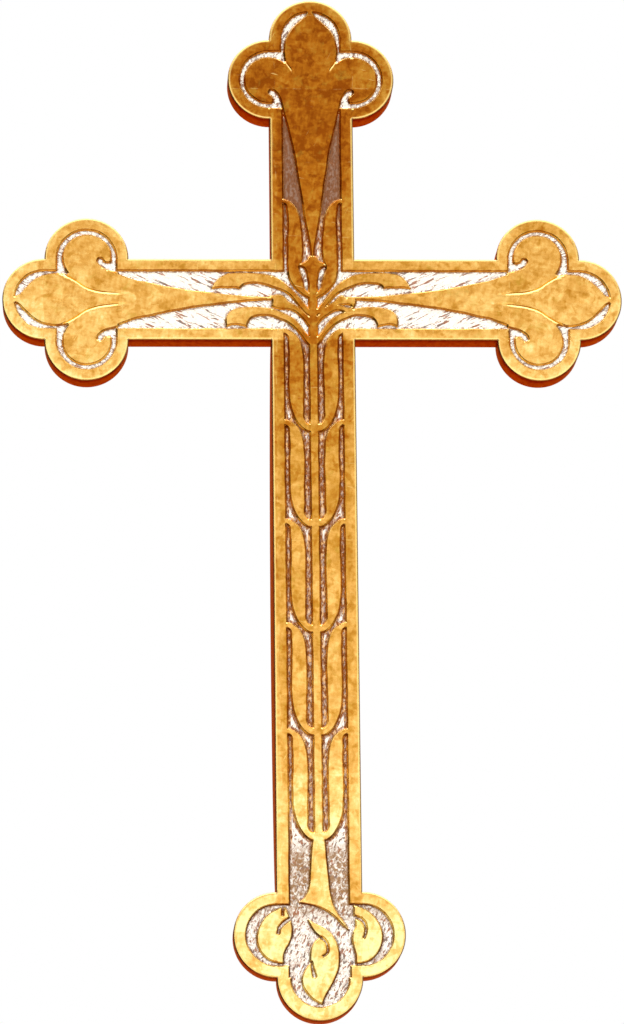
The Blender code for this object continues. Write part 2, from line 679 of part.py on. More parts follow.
def main():
    for thing in list(bpy.data.objects):
        bpy.data.objects.remove(thing, do_unlink=True)

    centre = bpy.data.objects.new("cross_centre", None)
    bpy.context.scene.collection.objects.link(centre)
    centre.location = (0, -(PAD_THICKNESS + GAP) * MM, -HOOK_HEIGHT * MM)

    gilded = make_material("gilded_wood", (0.86, 0.55, 0.14), 0.85, 0.35)
    beech = make_material("beech", (0.72, 0.52, 0.33), 0.0, 0.6)
    zinc_steel = make_material("zinc_steel", (0.62, 0.6, 0.55), 1.0, 0.35)
    rubber = make_material("rubber", (0.06, 0.06, 0.06), 0.0, 0.8)

    cutters = {}
    for name, build in (
        ("carved_ground", build_carved_ground),
        ("dowel_holes", build_dowel_holes),
        ("lap_screw_holes", build_lap_screw_holes),
        ("hanger_screw_holes", build_hanger_screw_holes),
        ("drive_recesses", build_drive_recesses),
    ):
        cutters[name] = make_cutter(name, mesh_from(name, build), centre)
    upright_halving, crossbar_halving = halving_cutters(centre)

    upright = upright_board(centre, gilded)
    crossbar = crossbar_board(centre, gilded)
    cut_with(upright, upright_halving)
    cut_with(crossbar, crossbar_halving)
    cut_with(upright, cutters["hanger_screw_holes"])
    carved = [upright, crossbar]
    for board in carved:
        cut_with(board, cutters["lap_screw_holes"])
    for name, middle, outward in joint_faces():
        carved.append(side_lobe(name, middle, outward, centre, gilded))
    for piece in carved:
        cut_with(piece, cutters["dowel_holes"])
        cut_with(piece, cutters["carved_ground"])

    dowels(centre, beech)
    lap_screws(centre, zinc_steel, cutters["drive_recesses"])
    hanger_plate(centre, zinc_steel, cutters["hanger_screw_holes"])
    hanger_screws(centre, zinc_steel, cutters["drive_recesses"])
    hanger_ring(centre, zinc_steel)
    wall_pads(centre, rubber)


main()
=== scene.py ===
"""The looks of a carved wall cross with gold leaf on the raised parts and silver leaf in the ground.

Places on the cross are drawn in millimetres: x to the right, z up, and depth into the wood from
the carved face, all from the centre of the crossing. They become metres where a mesh is made.
"""

import math

import bmesh
import bpy
import numpy as np
from mathutils import Matrix, Vector, noise
from mathutils.geometry import delaunay_2d_cdt
from mathutils.kdtree import KDTree


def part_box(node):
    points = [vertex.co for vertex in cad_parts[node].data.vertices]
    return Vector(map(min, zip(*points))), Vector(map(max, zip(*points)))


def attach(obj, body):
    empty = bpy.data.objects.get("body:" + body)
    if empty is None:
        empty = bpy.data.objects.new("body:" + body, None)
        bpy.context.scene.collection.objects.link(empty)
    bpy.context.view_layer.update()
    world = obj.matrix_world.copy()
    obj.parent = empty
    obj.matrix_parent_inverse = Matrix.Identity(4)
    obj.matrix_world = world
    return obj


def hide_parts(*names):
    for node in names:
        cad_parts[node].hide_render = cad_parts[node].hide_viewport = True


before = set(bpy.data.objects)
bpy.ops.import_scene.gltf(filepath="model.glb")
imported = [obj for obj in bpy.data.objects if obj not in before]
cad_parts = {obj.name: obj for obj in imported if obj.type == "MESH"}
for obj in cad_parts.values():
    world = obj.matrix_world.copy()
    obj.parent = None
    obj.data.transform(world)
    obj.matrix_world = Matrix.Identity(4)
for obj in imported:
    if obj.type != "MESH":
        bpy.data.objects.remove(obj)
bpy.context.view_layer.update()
MM = 0.001

# Sizes that the frame gives
upright_low, upright_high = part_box("upright_board")
crossbar_low, crossbar_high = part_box("crossbar_board")
CENTRE = Vector((0, upright_low.y, (crossbar_low.z + crossbar_high.z) / 2))
THICKNESS = (upright_high.y - upright_low.y) / MM
R = (crossbar_high.z - crossbar_low.z) / 2 / MM     # half a board's width, and every lobe's radius
ARM_LOBE = crossbar_high.x / MM - R                 # from the crossing to an end lobe's centre
HEAD_LOBE = (upright_high.z - CENTRE.z) / MM - R
FOOT_LOBE = (upright_low.z - CENTRE.z) / MM + R
TO_CROSS = Matrix.Translation(CENTRE) @ Matrix.Scale(MM, 4)
SHARP_ANGLE = math.radians(40)

# Carving
CARVING_DEPTH = 2.7
BORDER = 12.5                 # plain band round the lobes and along the arms
INNER = R - BORDER
SHAFT_PANEL = 31.0            # half the width of the carved panel on the upright
FOOT_BORDER = 14.0
POD_LEVELS = ((-31.5, -144), (-131, -247), (-238, -360), (-349, -469), (-461.5, -579))
ARRIS_START = -0.95           # distances from a carved edge between which the surface goes down
WALL_END = 1.45
HAND_WOBBLE = 0.22            # how far a carved edge strays from its drawn line
WOBBLE_LENGTH = 14.0
LINE_WIDTH = 2.6              # incised lines
LINE_DEPTH = 1.25
VALLEY = 0.22                 # where an incised line is deepest, as a share of its width
FACE_WAVES = ((0.1, 31, 0.3), (0.05, 9, 5.1))       # height, length and seed of the planing's waves
TOOLED_WAVES = (0.25, 5.5, 1.9)                     # and of the ground between its tool strokes
STROKE_DEPTH = 0.42
STROKE_SIZE = (2.1, 7.5)
STROKE_SLANT = 0.55
OUTER_ROUNDING = 1.7          # radius of the worn outer edges
LEFT_FLARE = 2.5              # the shaft's sides are planed a little out of square
RIGHT_FLARE = 0.7
BACK_CHAMFER = 0.7
JOINT_ROUNDING = 0.25         # drop of each row where two pieces meet

# Mesh spacing
CURVE_STEP = 1.2
SAMPLE_STEP = 0.3
EDGE_SPACING = 0.72           # along a carved edge
ROW_SPACING = 0.52
ROWS = 4                      # from an edge's start to the end of its wall
LINE_ROWS = (-0.5, -0.12, VALLEY, 0.5)              # across an incised line, in shares of its width
ROUNDING_STEPS = 4            # round the outer edge
NEAR_ROW = 0.5
SHOULDER = 1.4                # from an edge's start to the last row on the flat
SHOULDER_SPACING = 1.6
GROUND_SPACING = 1.0
GROUND_CLEAR = 0.6
FLAT_CLEAR = 3.2
FLAT_SPACING = 3.0
RIM_STEP = 1.4
RIM_CLEAR = 2.4
EDGE_CLEAR = 0.62             # between the rim's vertices and the face's
SIDE_PROBE = 0.05             # how far from a line its two sides are looked at
SURE_SIDE = 0.55              # nearer to a line than this, the line says which side a point is on
ON_THE_RIM = 0.1
EVERYWHERE = 1e9


# ---------------------------------------------------------------- outlines in the x, z plane

def arc(centre, radius, start, end, steps):
    """Points on a circle between two angles in degrees, both ends included."""
    turns = [math.radians(start + (end - start) * i / steps) for i in range(steps + 1)]
    return [(centre[0] + radius * math.cos(a), centre[1] + radius * math.sin(a)) for a in turns]


def circle(centre, radius):
    return arc(centre, radius, 0, 360, round(math.tau * radius / CURVE_STEP))[:-1]


def rectangle(x0, x1, z0, z1):
    return [(x0, z0), (x1, z0), (x1, z1), (x0, z1)]


def smooth(points, step=CURVE_STEP):
    """A cubic curve through the points, as a run of chords no longer than about one step."""
    p = np.array(points, float)
    chord = np.linalg.norm(np.diff(p, axis=0), axis=1)
    slope = np.diff(p, axis=0) / chord[:, None]
    tangent = np.empty_like(p)
    weight = chord[:-1] + chord[1:]
    tangent[1:-1] = (slope[:-1] * chord[1:, None] + slope[1:] * chord[:-1, None]) / weight[:, None]
    tangent[0] = 1.5 * slope[0] - 0.5 * tangent[1] if len(p) > 2 else slope[0]
    tangent[-1] = 1.5 * slope[-1] - 0.5 * tangent[-2] if len(p) > 2 else slope[0]
    run = []
    for i, length in enumerate(chord):
        for t in np.arange(0, 1, 1 / max(1, round(length / step))):
            run.append(
                (2 * t**3 - 3 * t**2 + 1) * p[i] + (t**3 - 2 * t**2 + t) * length * tangent[i]
                + (3 * t**2 - 2 * t**3) * p[i + 1] + (t**3 - t**2) * length * tangent[i + 1]
            )
    return [tuple(q) for q in run] + [tuple(p[-1])]


def outline(*runs):
    """A closed outline of smooth runs. Each run starts at a corner and ends at the next one's start."""
    points = []
    for i, run in enumerate(runs):
        points += smooth(list(run) + [runs[(i + 1) % len(runs)][0]])[:-1]
    return points


def ribbon(points, start_width, end_width):
    """A band along a smooth path, with round ends."""
    path = np.array(smooth(points))
    along = np.gradient(path, axis=0)
    along /= np.linalg.norm(along, axis=1)[:, None]
    across = np.stack([-along[:, 1], along[:, 0]], axis=1)
    half = np.linspace(start_width, end_width, len(path))[:, None] / 2
    turn = math.degrees(math.atan2(along[-1][1], along[-1][0]))
    back = math.degrees(math.atan2(along[0][1], along[0][0]))
    left = [tuple(q) for q in path + across * half]
    right = [tuple(q) for q in path - across * half]
    cap = arc(path[-1], end_width / 2, turn - 90, turn + 90, 8)[1:-1]
    tail = arc(path[0], start_width / 2, back + 90, back + 270, 8)[1:-1]
    return right + cap + left[::-1] + tail


def mirrored(points):
    return [(-x, z) for x, z in reversed(points)]


def both_sides(points):
    return [points, mirrored(points)]


def stretched(points, factor):
    return [(x * factor, z) for x, z in points]


# ---------------------------------------------------------------- the carved ornament

def end_frame(end):
    """The map from (across, outwards) about an end lobe's centre to (x, z) on the cross."""
    return {
        "head": lambda v, u: (v, HEAD_LOBE + u),
        "left_arm": lambda v, u: (-ARM_LOBE - u, v),
        "right_arm": lambda v, u: (ARM_LOBE + u, v),
        "foot": lambda v, u: (v, FOOT_LOBE - u),
    }[end]


def placed(points, end):
    to_cross = end_frame(end)
    return [to_cross(v, u) for v, u in points]


def panel_shapes():
    """What lies inside the plain border, as overlapping shapes."""
    shapes = [
        rectangle(-SHAFT_PANEL, SHAFT_PANEL, FOOT_LOBE, HEAD_LOBE),
        rectangle(-ARM_LOBE, ARM_LOBE, -INNER, INNER),
    ]
    for end in ("head", "left_arm", "right_arm", "foot"):
        radius = INNER if end != "foot" else R - FOOT_BORDER
        shapes.append(placed(circle((0, 0), radius), end))
        shapes.append(placed(rectangle(-INNER, INNER, -R, 0), end))
        shapes.append(placed(rectangle(-R, R, -R - INNER, INNER - R), end))
        shapes += [placed(circle((side * R, -R), INNER), end) for side in (-1, 1)]
    return shapes


def fleur_shapes():
    """A pointed petal between two volutes: (raised, cut back again), about an end lobe's centre."""
    edge = [(2.2, 34), (4.5, 27.5), (8.5, 23.5), (14.5, 18), (21, 11), (25.5, 3), (27.8, -6),
            (28.2, -15), (27, -22.5)]
    petal = smooth(edge) + [(20, -40)] + mirrored(smooth(edge) + [(20, -40)])
    body = [(26.5, -24), (44, -35), (47, -55), (33.5, -62), (29.5, -78)]
    raised = [petal, body + mirrored(body)]
    raised += [circle((side * 45.5, -45), 25.5) for side in (-1, 1)]
    hook = outline(
        [(29.7, -79), (31, -72), (33, -64.5), (36.5, -59), (40.5, -56), (44, -56), (45.6, -58.6),
         (44.3, -61.8)],
        [(42, -62.8), (40.5, -66), (41, -69.5), (43.5, -72), (44, -78)],
        [(37, -79)],
    )
    return raised, both_sides(hook)


def stem_shapes():
    """The long tapering stems of the head and the arms, and the stem down the upright."""
    head = smooth([(30, 212), (27, 200), (23, 184), (18, 161), (14.7, 139), (11.8, 120), (9.6, 104),
                   (7.6, 89), (5, 74.5), (2.6, 62), (1.2, 48)])
    arm = smooth([(211, 29.5), (200, 25), (190, 21.3), (175, 18), (160, 14.6), (145, 11.8),
                  (130, 9.2), (115, 7.3), (100, 5.5), (85, 3.7), (70, 2.3), (55, 1.5), (36, 1.2)])
    arm_up = [(x, z + 1.6 * (210 - x) / 170) for x, z in arm]
    arm_down = [(x, 1.6 * (210 - x) / 170 - z) for x, z in arm]
    upright = rectangle(-4.4, 4.4, -590, 24)
    return [head + mirrored(head), upright] + both_sides(arm_up + arm_down[::-1])


def crossing_shapes():
    """Leaves, twigs and bud where the boards cross: (raised, cut back again)."""
    tall_leaf = outline(
        [(32, 111), (27, 110), (22.5, 107.3), (18, 102.5), (15, 96), (13, 88), (11.5, 76), (10.6, 62),
         (10.8, 50), (12.3, 42), (14.4, 36), (13.3, 30.5), (11.2, 25), (9.8, 18), (8, 11.5)],
        [(3, 6.5), (3, 2), (8, 3.8), (13.5, 7.5), (17.5, 11.5), (21, 16), (24.2, 22), (26, 29),
         (26.5, 38), (26.5, 60), (26.5, 98), (28, 105)],
        [(32, 107)],
    )
    upper_leaf = outline(
        [(2, -13), (7, -7), (11, -1.5), (15, 3.5), (20, 9.3), (25, 14.3), (31, 19.5), (38, 24),
         (46, 27.3), (56, 28.6), (68, 29.3), (80, 29.3), (89, 28), (96, 24.5), (101, 19.5)],
        [(104.5, 13), (96, 13.8), (88, 13.6), (81, 13.9)],
        [(76.5, 13), (73, 16.5), (66, 18.4), (58, 18.7), (50, 17.4), (42, 14.5), (34, 11.3),
         (28, 8.2), (22, 3), (17, -3.3), (12, -10), (7, -15.5)],
        [(2, -19)],
    )
    lower_leaf = outline(
        [(2, -43), (7, -37.5), (11, -31.8), (15, -26.2), (20, -21), (26, -17.2), (33, -14), (41, -10.7),
         (50, -8.8), (62, -8), (73, -8.6), (82, -11), (88, -15.5), (90.5, -21.5)],
        [(90, -29), (84, -26.8), (77, -27), (72, -28.2)],
        [(69.3, -29.3), (68, -24.5), (64.5, -20), (58, -17.4), (50, -16.8), (43, -17.6), (36, -20.3),
         (29, -23.3), (23, -27), (17, -33), (12, -39.5), (8, -45.5)],
        [(2, -52)],
    )
    left_twig = outline(
        [(-2, -20), (-7, -16.5), (-10, -13.5), (-14, -9.5), (-18, -6.5), (-22, -4.5), (-26, -2),
         (-29, 1.5), (-32, 4.5), (-37, 5.4)],
        [(-46.5, 3.6), (-43, 0)],
        [(-43.8, -6.6), (-38, -9.2), (-32, -10), (-26, -10.3), (-22, -11.5), (-18, -13.6),
         (-14, -17), (-10, -21.5), (-7, -26)],
        [(-2, -32)],
    )
    right_twig = outline(
        [(2, -20), (7, -15.5), (10, -11.5), (13.5, -8), (17, -5.4), (20, -3.8), (23, -1.8),
         (25.5, 0.8), (28, 3.2), (31, 4.8), (34, 3)],
        [(36, 1.6), (40, 2.6), (43.5, 1.8), (45.8, -1), (45.2, -4.5)],
        [(43, -9.5), (41, -12)],
        [(35.5, -14.5), (32.5, -12.6), (29, -11.2), (24, -11.5), (19, -14), (15, -17), (11, -19.5),
         (8, -22.8), (5, -27)],
        [(2, -32)],
    )
    bud_side = smooth([(0, 48.5), (3.5, 47), (6, 43.2)])
    bud_side += smooth([(8.5, 41.3), (12.5, 39.6), (14.5, 37.6)])
    bud_side += smooth([(9, 35.4), (6.6, 31), (5.6, 25), (4.6, 18), (3, 6)])
    raised = [bud_side + mirrored(bud_side)[:-1], left_twig, right_twig]
    raised += both_sides(tall_leaf)
    for leaf in (upper_leaf, lower_leaf):
        raised += [stretched(leaf, 0.99), stretched(mirrored(leaf), 1.02)]
    slit = outline([(26.5, -5.8), (33, -5.1), (38, -5.2), (41, -7.2), (38, -8.8), (33, -7.6)])
    return raised, [slit]


def pod(top, bottom):
    """One of the long leaves that climb the upright, on its right side."""
    return outline(
        [(32, top), (27, top - 1.2), (22, top - 4), (17.5, top - 8.2), (14, top - 14), (11.8, top - 22),
         (10.8, top - 33), (10.8, bottom + 26), (10.3, bottom + 13), (8, bottom + 9)],
        [(3, bottom + 8)],
        [(3, bottom), (8, bottom + 0.8), (13.5, bottom + 4.6), (18.5, bottom + 11), (22.6, bottom + 20),
         (25.4, bottom + 31), (26.4, bottom + 44), (26.5, top - 18), (27.5, top - 8)],
        [(32, top - 5)],
    )


def foot_shapes():
    """The root of the stem and the three leaves of the foot: (raised, cut back again)."""
    root = outline(
        [(-4.4, -570), (-7, -585), (-8.2, -600), (-9, -613), (-9.9, -625), (-12, -633.5), (-15.5, -639.5)],
        [(-20.5, -643.4), (-12, -645), (-2, -647.6), (7, -651.5), (14, -656.6), (20, -662.5), (25, -668)],
        [(29.8, -672), (25.3, -664.6), (20.3, -657.5), (16, -649.5), (13, -640), (10.8, -628), (9.4, -614),
         (8, -600), (7, -585)],
        [(4.4, -570)],
    )
    left_leaf = outline(
        [(-35.5, -649), (-42, -650.3), (-50, -654.3), (-57, -660.8), (-62, -669), (-64.4, -678),
         (-63.6, -687), (-60, -695), (-54, -701.3), (-46, -705.2)],
        [(-37.5, -706), (-37.8, -700), (-36, -693.5), (-32, -686.5), (-29.3, -680), (-28.2, -672),
         (-29.5, -664), (-32, -656.5)],
    )
    right_leaf = outline(
        [(35.5, -646.8), (43, -649), (51, -653.5), (58, -660.5), (63, -669.5), (64.8, -679),
         (63, -689), (58, -698), (50, -703.8), (43, -706)],
        [(37.2, -706.5), (37.3, -699), (35.2, -690), (34, -682), (34.8, -675), (37, -670.3),
         (37.5, -664), (36, -655.5)],
    )
    low_leaf = outline(
        [(-11.5, -661.5), (-6, -665), (0, -668.2), (6, -671.5), (12, -676.5), (16.5, -683.5),
         (19.3, -692), (20, -702), (18.8, -712), (15.5, -721.5), (10.5, -730.5), (5.5, -739)],
        [(2, -748.5), (-4, -745.6), (-9.5, -741.3), (-14.5, -735), (-18, -727.5), (-18.3, -720.5),
         (-14.5, -713)],
        [(-9.3, -706.5), (-9.8, -699), (-8.5, -691), (-5, -684.5)],
        [(1, -679.3), (-4, -675.3), (-8.5, -669)],
    )
    cuts = [
        ribbon([(-28, -660), (-33.5, -662.5), (-38.5, -666.5), (-41.6, -670.5), (-42.6, -675.5)], 4.5, 3),
        ribbon([(-37, -647), (-38, -652), (-38, -657)], 3, 2.4),
        ribbon([(33, -659), (38.5, -659.6), (44, -662.5), (47.3, -668.5), (47.4, -675), (45.6, -680.5)],
               4.6, 2.6),
        ribbon([(2, -680.5), (6.2, -684.5), (8.2, -690), (7.6, -696), (3.5, -699.2)], 3.2, 2.6),
        ribbon([(-8.8, -705.5), (-7.6, -712), (-5.8, -720)], 2.2, 4.2),
    ]
    return [root, left_leaf, right_leaf, low_leaf], cuts


def carving():
    """(panel, raised, cut) outlines. The ground is the panel less what is raised, plus the cuts."""
    crossing, slit = crossing_shapes()
    foot, foot_cuts = foot_shapes()
    fleur, hooks = fleur_shapes()
    raised = stem_shapes() + crossing + foot
    cuts = slit + foot_cuts
    for end in ("head", "left_arm", "right_arm"):
        raised += [placed(shape, end) for shape in fleur]
        cuts += [placed(shape, end) for shape in hooks]
    for top, bottom in POD_LEVELS:
        raised += both_sides(pod(top, bottom))
    return panel_shapes(), raised, cuts


def incised_lines():
    """Lines cut with one V-shaped stroke that fades out: (path, width, depth)."""
    lines = []
    for end, run_out in (("head", 1.0), ("left_arm", 2.0), ("right_arm", 2.0)):
        for side in (-1, 1):
            path = [(29, -17), (26.5, -24.5), (22.5, -31.5), (18.5, -38 * run_out**0.35)]
            if run_out > 1:
                path = [(28, -17), (25.5, -23), (20, -33), (12.5, -44), (8.5, -56), (6.5, -72), (5.5, -90)]
            path = [(side * v, u) for v, u in path]
            lines.append((placed(smooth(path, 0.5), end), LINE_WIDTH, LINE_DEPTH))
    return lines


# ---------------------------------------------------------------- distances in the drawing

def inside(points, shape):
    """Which of the points lie inside the closed outline."""
    corners = np.array(shape)
    near = np.flatnonzero(((points >= corners.min(0)) & (points <= corners.max(0))).all(1))
    x, z = points[near].T
    held = np.zeros(len(near), bool)
    for (x0, z0), (x1, z1) in zip(shape, shape[1:] + shape[:1]):
        if z0 != z1:
            held ^= ((z0 > z) != (z1 > z)) & (x < x0 + (z - z0) * (x1 - x0) / (z1 - z0))
    result = np.zeros(len(points), bool)
    result[near[held]] = True
    return result


def inside_any(points, shapes):
    held = np.zeros(len(points), bool)
    for shape in shapes:
        held |= inside(points, shape)
    return held


def kd_tree(points):
    tree = KDTree(len(points))
    for i, (x, z) in enumerate(points.tolist()):
        tree.insert((x, z, 0), i)
    tree.balance()
    return tree


def wave(x, z, height, length, seed):
    """Smooth noise of at most this height, and of about this length, in millimetres."""
    return height * noise.noise((x / length, z / length, seed))


class Boundary:
    """The lines between a region and what is round it, as short straight samples."""

    def __init__(self, shapes, region, wobble=0.0):
        self.region = region
        places, along = [], []
        for shape in shapes:
            start = np.array(shape)
            way = np.roll(start, -1, axis=0) - start
            length = np.linalg.norm(way, axis=1)
            start, way, length = start[length > 1e-6], way[length > 1e-6], length[length > 1e-6]
            count = np.maximum(1, np.ceil(length / SAMPLE_STEP)).astype(int)
            owner = np.repeat(np.arange(len(start)), count)
            part = (np.concatenate([np.arange(n) for n in count]) + 0.5) / count[owner]
            places.append(start[owner] + part[:, None] * way[owner])
            along.append((way / length[:, None])[owner])
        places, along = np.concatenate(places), np.concatenate(along)
        across = np.stack([-along[:, 1], along[:, 0]], axis=1)
        left, right = region(places + SIDE_PROBE * across), region(places - SIDE_PROBE * across)
        kept = left != right
        self.along = along[kept]
        self.inward = np.where(left[kept][:, None], across[kept], -across[kept])
        self.places = places[kept]
        if wobble:
            stray = [wave(x, z, 1.0, WOBBLE_LENGTH, 3.7) for x, z in self.places.tolist()]
            self.places = self.places + wobble * 2 * np.array(stray)[:, None] * self.inward
        self.tree = kd_tree(self.places)

    def measure(self, points):
        """(distance, nearest place, direction into the region); the distance is positive inside."""
        nearest = np.array([self.tree.find((x, z, 0))[1] for x, z in points.tolist()])
        offset = points - self.places[nearest]
        slide = np.clip((offset * self.along[nearest]).sum(1), -SAMPLE_STEP / 2, SAMPLE_STEP / 2)
        foot = self.places[nearest] + slide[:, None] * self.along[nearest]
        gap = points - foot
        size = np.linalg.norm(gap, axis=1)
        side = np.where((gap * self.inward[nearest]).sum(1) >= 0, 1.0, -1.0)
        clear = size > SURE_SIDE
        side[clear] = np.where(self.region(points[clear]), 1.0, -1.0)
        direction = np.where(size[:, None] > 1e-3, side[:, None] * gap / np.maximum(size, 1e-3)[:, None],
                             self.inward[nearest])
        return side * size, foot, direction


def lattice(low, high, step):
    """Points of a triangular lattice that fills a box."""
    rows = np.arange(low[1], high[1], step * math.sqrt(3) / 2)
    columns = np.arange(low[0], high[0], step)
    x = columns[None, :] + (np.arange(len(rows)) % 2)[:, None] * step / 2
    return np.stack([x.ravel(), np.repeat(rows, len(columns))], axis=1)


def spread(points, gap):
    """The points, less each one that is closer than the gap to one kept before it."""
    cells, kept = {}, []
    for i, (x, z) in enumerate(points.tolist()):
        column, row = int(x // gap), int(z // gap)
        near = [q for a in (-1, 0, 1) for b in (-1, 0, 1) for q in cells.get((column + a, row + b), ())]
        if all((x - p) ** 2 + (z - q) ** 2 >= gap * gap for p, q in near):
            cells.setdefault((column, row), []).append((x, z))
            kept.append(i)
    return points[kept]


# ---------------------------------------------------------------- outlines of the pieces

def stations(length):
    """Shares of a stretch where its vertices stand, with none too close to the ends but the ends."""
    count = max(1, round((length - 2 * RIM_CLEAR) / RIM_STEP))
    inner = np.linspace(RIM_CLEAR, length - RIM_CLEAR, count + 1) / length
    return [0.0] + inner.tolist()


def straight(*corners):
    """Vertices from the first corner up to, but not including, the last one."""
    points = []
    for a, b in zip(corners, corners[1:]):
        points += [(a[0] + t * (b[0] - a[0]), a[1] + t * (b[1] - a[1])) for t in stations(math.dist(a, b))]
    return points


def round_end(centre, start, turn=180.0):
    angles = [math.radians(start + turn * t) for t in stations(math.radians(turn) * R)]
    return [(centre[0] + R * math.cos(a), centre[1] + R * math.sin(a)) for a in angles]


def upright_outline():
    levels = [FOOT_LOBE, FOOT_LOBE + 2 * R, -R, R, HEAD_LOBE - 2 * R, HEAD_LOBE]
    up = straight(*[(R, z) for z in levels])
    down = straight(*[(-R, z) for z in reversed(levels)])
    return up + round_end((0, HEAD_LOBE), 0) + down + round_end((0, FOOT_LOBE), 180)


def crossbar_outline():
    levels = [-ARM_LOBE, 2 * R - ARM_LOBE, -R, R, ARM_LOBE - 2 * R, ARM_LOBE]
    right = straight(*[(x, -R) for x in levels])
    left = straight(*[(x, R) for x in reversed(levels)])
    return right + round_end((ARM_LOBE, 0), -90) + left + round_end((-ARM_LOBE, 0), 90)


def lobe_outline(middle, facing):
    """A half disc whose flat side is on a board's edge. It points along an angle in degrees."""
    turns = [math.radians(facing + a) for a in (90, -90)]
    flat = [(middle[0] + R * math.cos(a), middle[1] + R * math.sin(a)) for a in turns]
    return straight(*flat) + round_end(middle, facing - 90)


def lobe_outlines():
    head, foot, arm = HEAD_LOBE - R, FOOT_LOBE + R, ARM_LOBE - R
    places = {
        "head_left_lobe": ((-R, head), 180),
        "head_right_lobe": ((R, head), 0),
        "left_arm_upper_lobe": ((-arm, R), 90),
        "left_arm_lower_lobe": ((-arm, -R), -90),
        "right_arm_upper_lobe": ((arm, R), 90),
        "right_arm_lower_lobe": ((arm, -R), -90),
        "foot_left_lobe": ((-R, foot), 180),
        "foot_right_lobe": ((R, foot), 0),
    }
    return {name: lobe_outline(*place) for name, place in places.items()}


# ---------------------------------------------------------------- the carved face

class CarvedFace:
    """The depth of the whole carved face, and the points that its meshes need."""

    def __init__(self, pieces):
        panel, raised, cuts = carving()
        self.pieces = pieces
        self.edge = Boundary(
            panel + raised + cuts,
            lambda p: inside_any(p, panel) & (~inside_any(p, raised) | inside_any(p, cuts)),
            HAND_WOBBLE,
        )
        self.rim = Boundary(pieces, lambda p: inside_any(p, pieces))
        self.lines = incised_lines()
        self.line_places = np.concatenate([np.array(path) for path, _, _ in self.lines])
        fades, upwards = [], []
        for path, width, depth in self.lines:
            along = np.linspace(0, 1, len(path))
            fades.append(np.stack([np.full(len(path), width), depth * (1 - along**2.5)], axis=1))
            way = np.gradient(np.array(path), axis=0)
            across = np.stack([-way[:, 1], way[:, 0]], axis=1) / np.linalg.norm(way, axis=1)[:, None]
            upwards.append(across * np.sign(across[:, 1:]))
        self.line_sizes = np.concatenate(fades)
        self.line_upwards = np.concatenate(upwards)
        self.line_tree = kd_tree(self.line_places)

    def points(self):
        low = np.array([-ARM_LOBE - R, FOOT_LOBE - R])
        high = np.array([ARM_LOBE + R, HEAD_LOBE + R])
        grid = lattice(low, high, EDGE_SPACING)
        grid = grid[inside_any(grid, self.pieces)]
        distance, foot, direction = self.edge.measure(grid)
        rows = []
        for level in np.linspace(ARRIS_START, WALL_END, ROWS):
            near = np.abs(distance - level) < NEAR_ROW
            rows.append(foot[near] + level * direction[near])
        width = self.line_sizes[::2, :1]
        for shift in LINE_ROWS:
            rows.append(self.line_places[::2] + shift * width * self.line_upwards[::2])
        rows = spread(np.concatenate(rows[::-1]), ROW_SPACING)
        shoulder = np.abs(distance - ARRIS_START + SHOULDER) < NEAR_ROW
        beyond = foot[shoulder] + (ARRIS_START - SHOULDER) * direction[shoulder]
        beyond = spread(beyond, SHOULDER_SPACING)
        fill = [rows, beyond]
        for step, low_limit, high_limit in (
            (GROUND_SPACING, WALL_END + GROUND_CLEAR, EVERYWHERE),
            (FLAT_SPACING, -EVERYWHERE, ARRIS_START - FLAT_CLEAR),
        ):
            more = lattice(low, high, step)
            more = more[inside_any(more, self.pieces)]
            measured = self.edge.measure(more)[0]
            fill.append(more[(measured > low_limit) & (measured < high_limit)])
        return spread(np.concatenate(fill), ROW_SPACING * 0.8)

    def depth(self, points):
        """How far the surface lies behind the flat face, in millimetres."""
        distance = self.edge.measure(points)[0]
        share = np.clip((distance - ARRIS_START) / (WALL_END - ARRIS_START), 0, 1)
        depth = CARVING_DEPTH * share**2 * (3 - 2 * share)
        tooled = share**3
        for i, (x, z) in enumerate(points.tolist()):
            depth[i] += wave(x, z, *FACE_WAVES[0]) + wave(x, z, *FACE_WAVES[1])
            if tooled[i] > 0.02:
                across, along = x + STROKE_SLANT * z, z - STROKE_SLANT * x
                stroke = noise.noise((across / STROKE_SIZE[0], along / STROKE_SIZE[1], 8.8))
                depth[i] += tooled[i] * (STROKE_DEPTH * stroke + wave(x, z, *TOOLED_WAVES))
            place, line, gap = self.line_tree.find((x, z, 0))
            width, cut = self.line_sizes[line]
            if gap < width:
                offset = (x - place[0], z - place[1])
                across = float(np.dot(offset, self.line_upwards[line])) / width
                lower, upper = (across + 0.5) / (VALLEY + 0.5), (0.5 - across) / (0.5 - VALLEY)
                slope = lower if across < VALLEY else upper
                depth[i] += cut * max(0.0, slope) * (1 - share[i])
        return depth


def rim_frames(points, rim):
    """For each vertex of a closed outline: its way inwards, and whether it is on the outer edge."""
    p = np.array(points)
    way = np.roll(p, -1, axis=0) - p
    way /= np.linalg.norm(way, axis=1)[:, None]
    normal = np.stack([-way[:, 1], way[:, 0]], axis=1)
    middle = (p + np.roll(p, -1, axis=0)) / 2
    outer = np.abs(rim.measure(middle)[0]) < ON_THE_RIM
    weighted = normal * outer[:, None] + np.roll(normal * outer[:, None], 1, axis=0)
    is_outer = outer | np.roll(outer, 1)
    length = np.linalg.norm(weighted, axis=1)
    inward = np.where(is_outer[:, None], weighted / np.maximum(length, 1e-6)[:, None], normal)
    return inward, is_outer.astype(float)


FRONT, EDGE, BACK = 0, 1, 2         # slots of a carved piece's materials
DISTANCE_LIMITS = (-6, 12)          # the materials don't look further than this


def link_object(name, data):
    made = bpy.data.objects.new(name, data)
    bpy.context.scene.collection.objects.link(made)
    return made


def face_outwards(mesh):
    bm = bmesh.new()
    bm.from_mesh(mesh)
    bmesh.ops.recalc_face_normals(bm, faces=bm.faces)
    bm.to_mesh(mesh)
    bm.free()


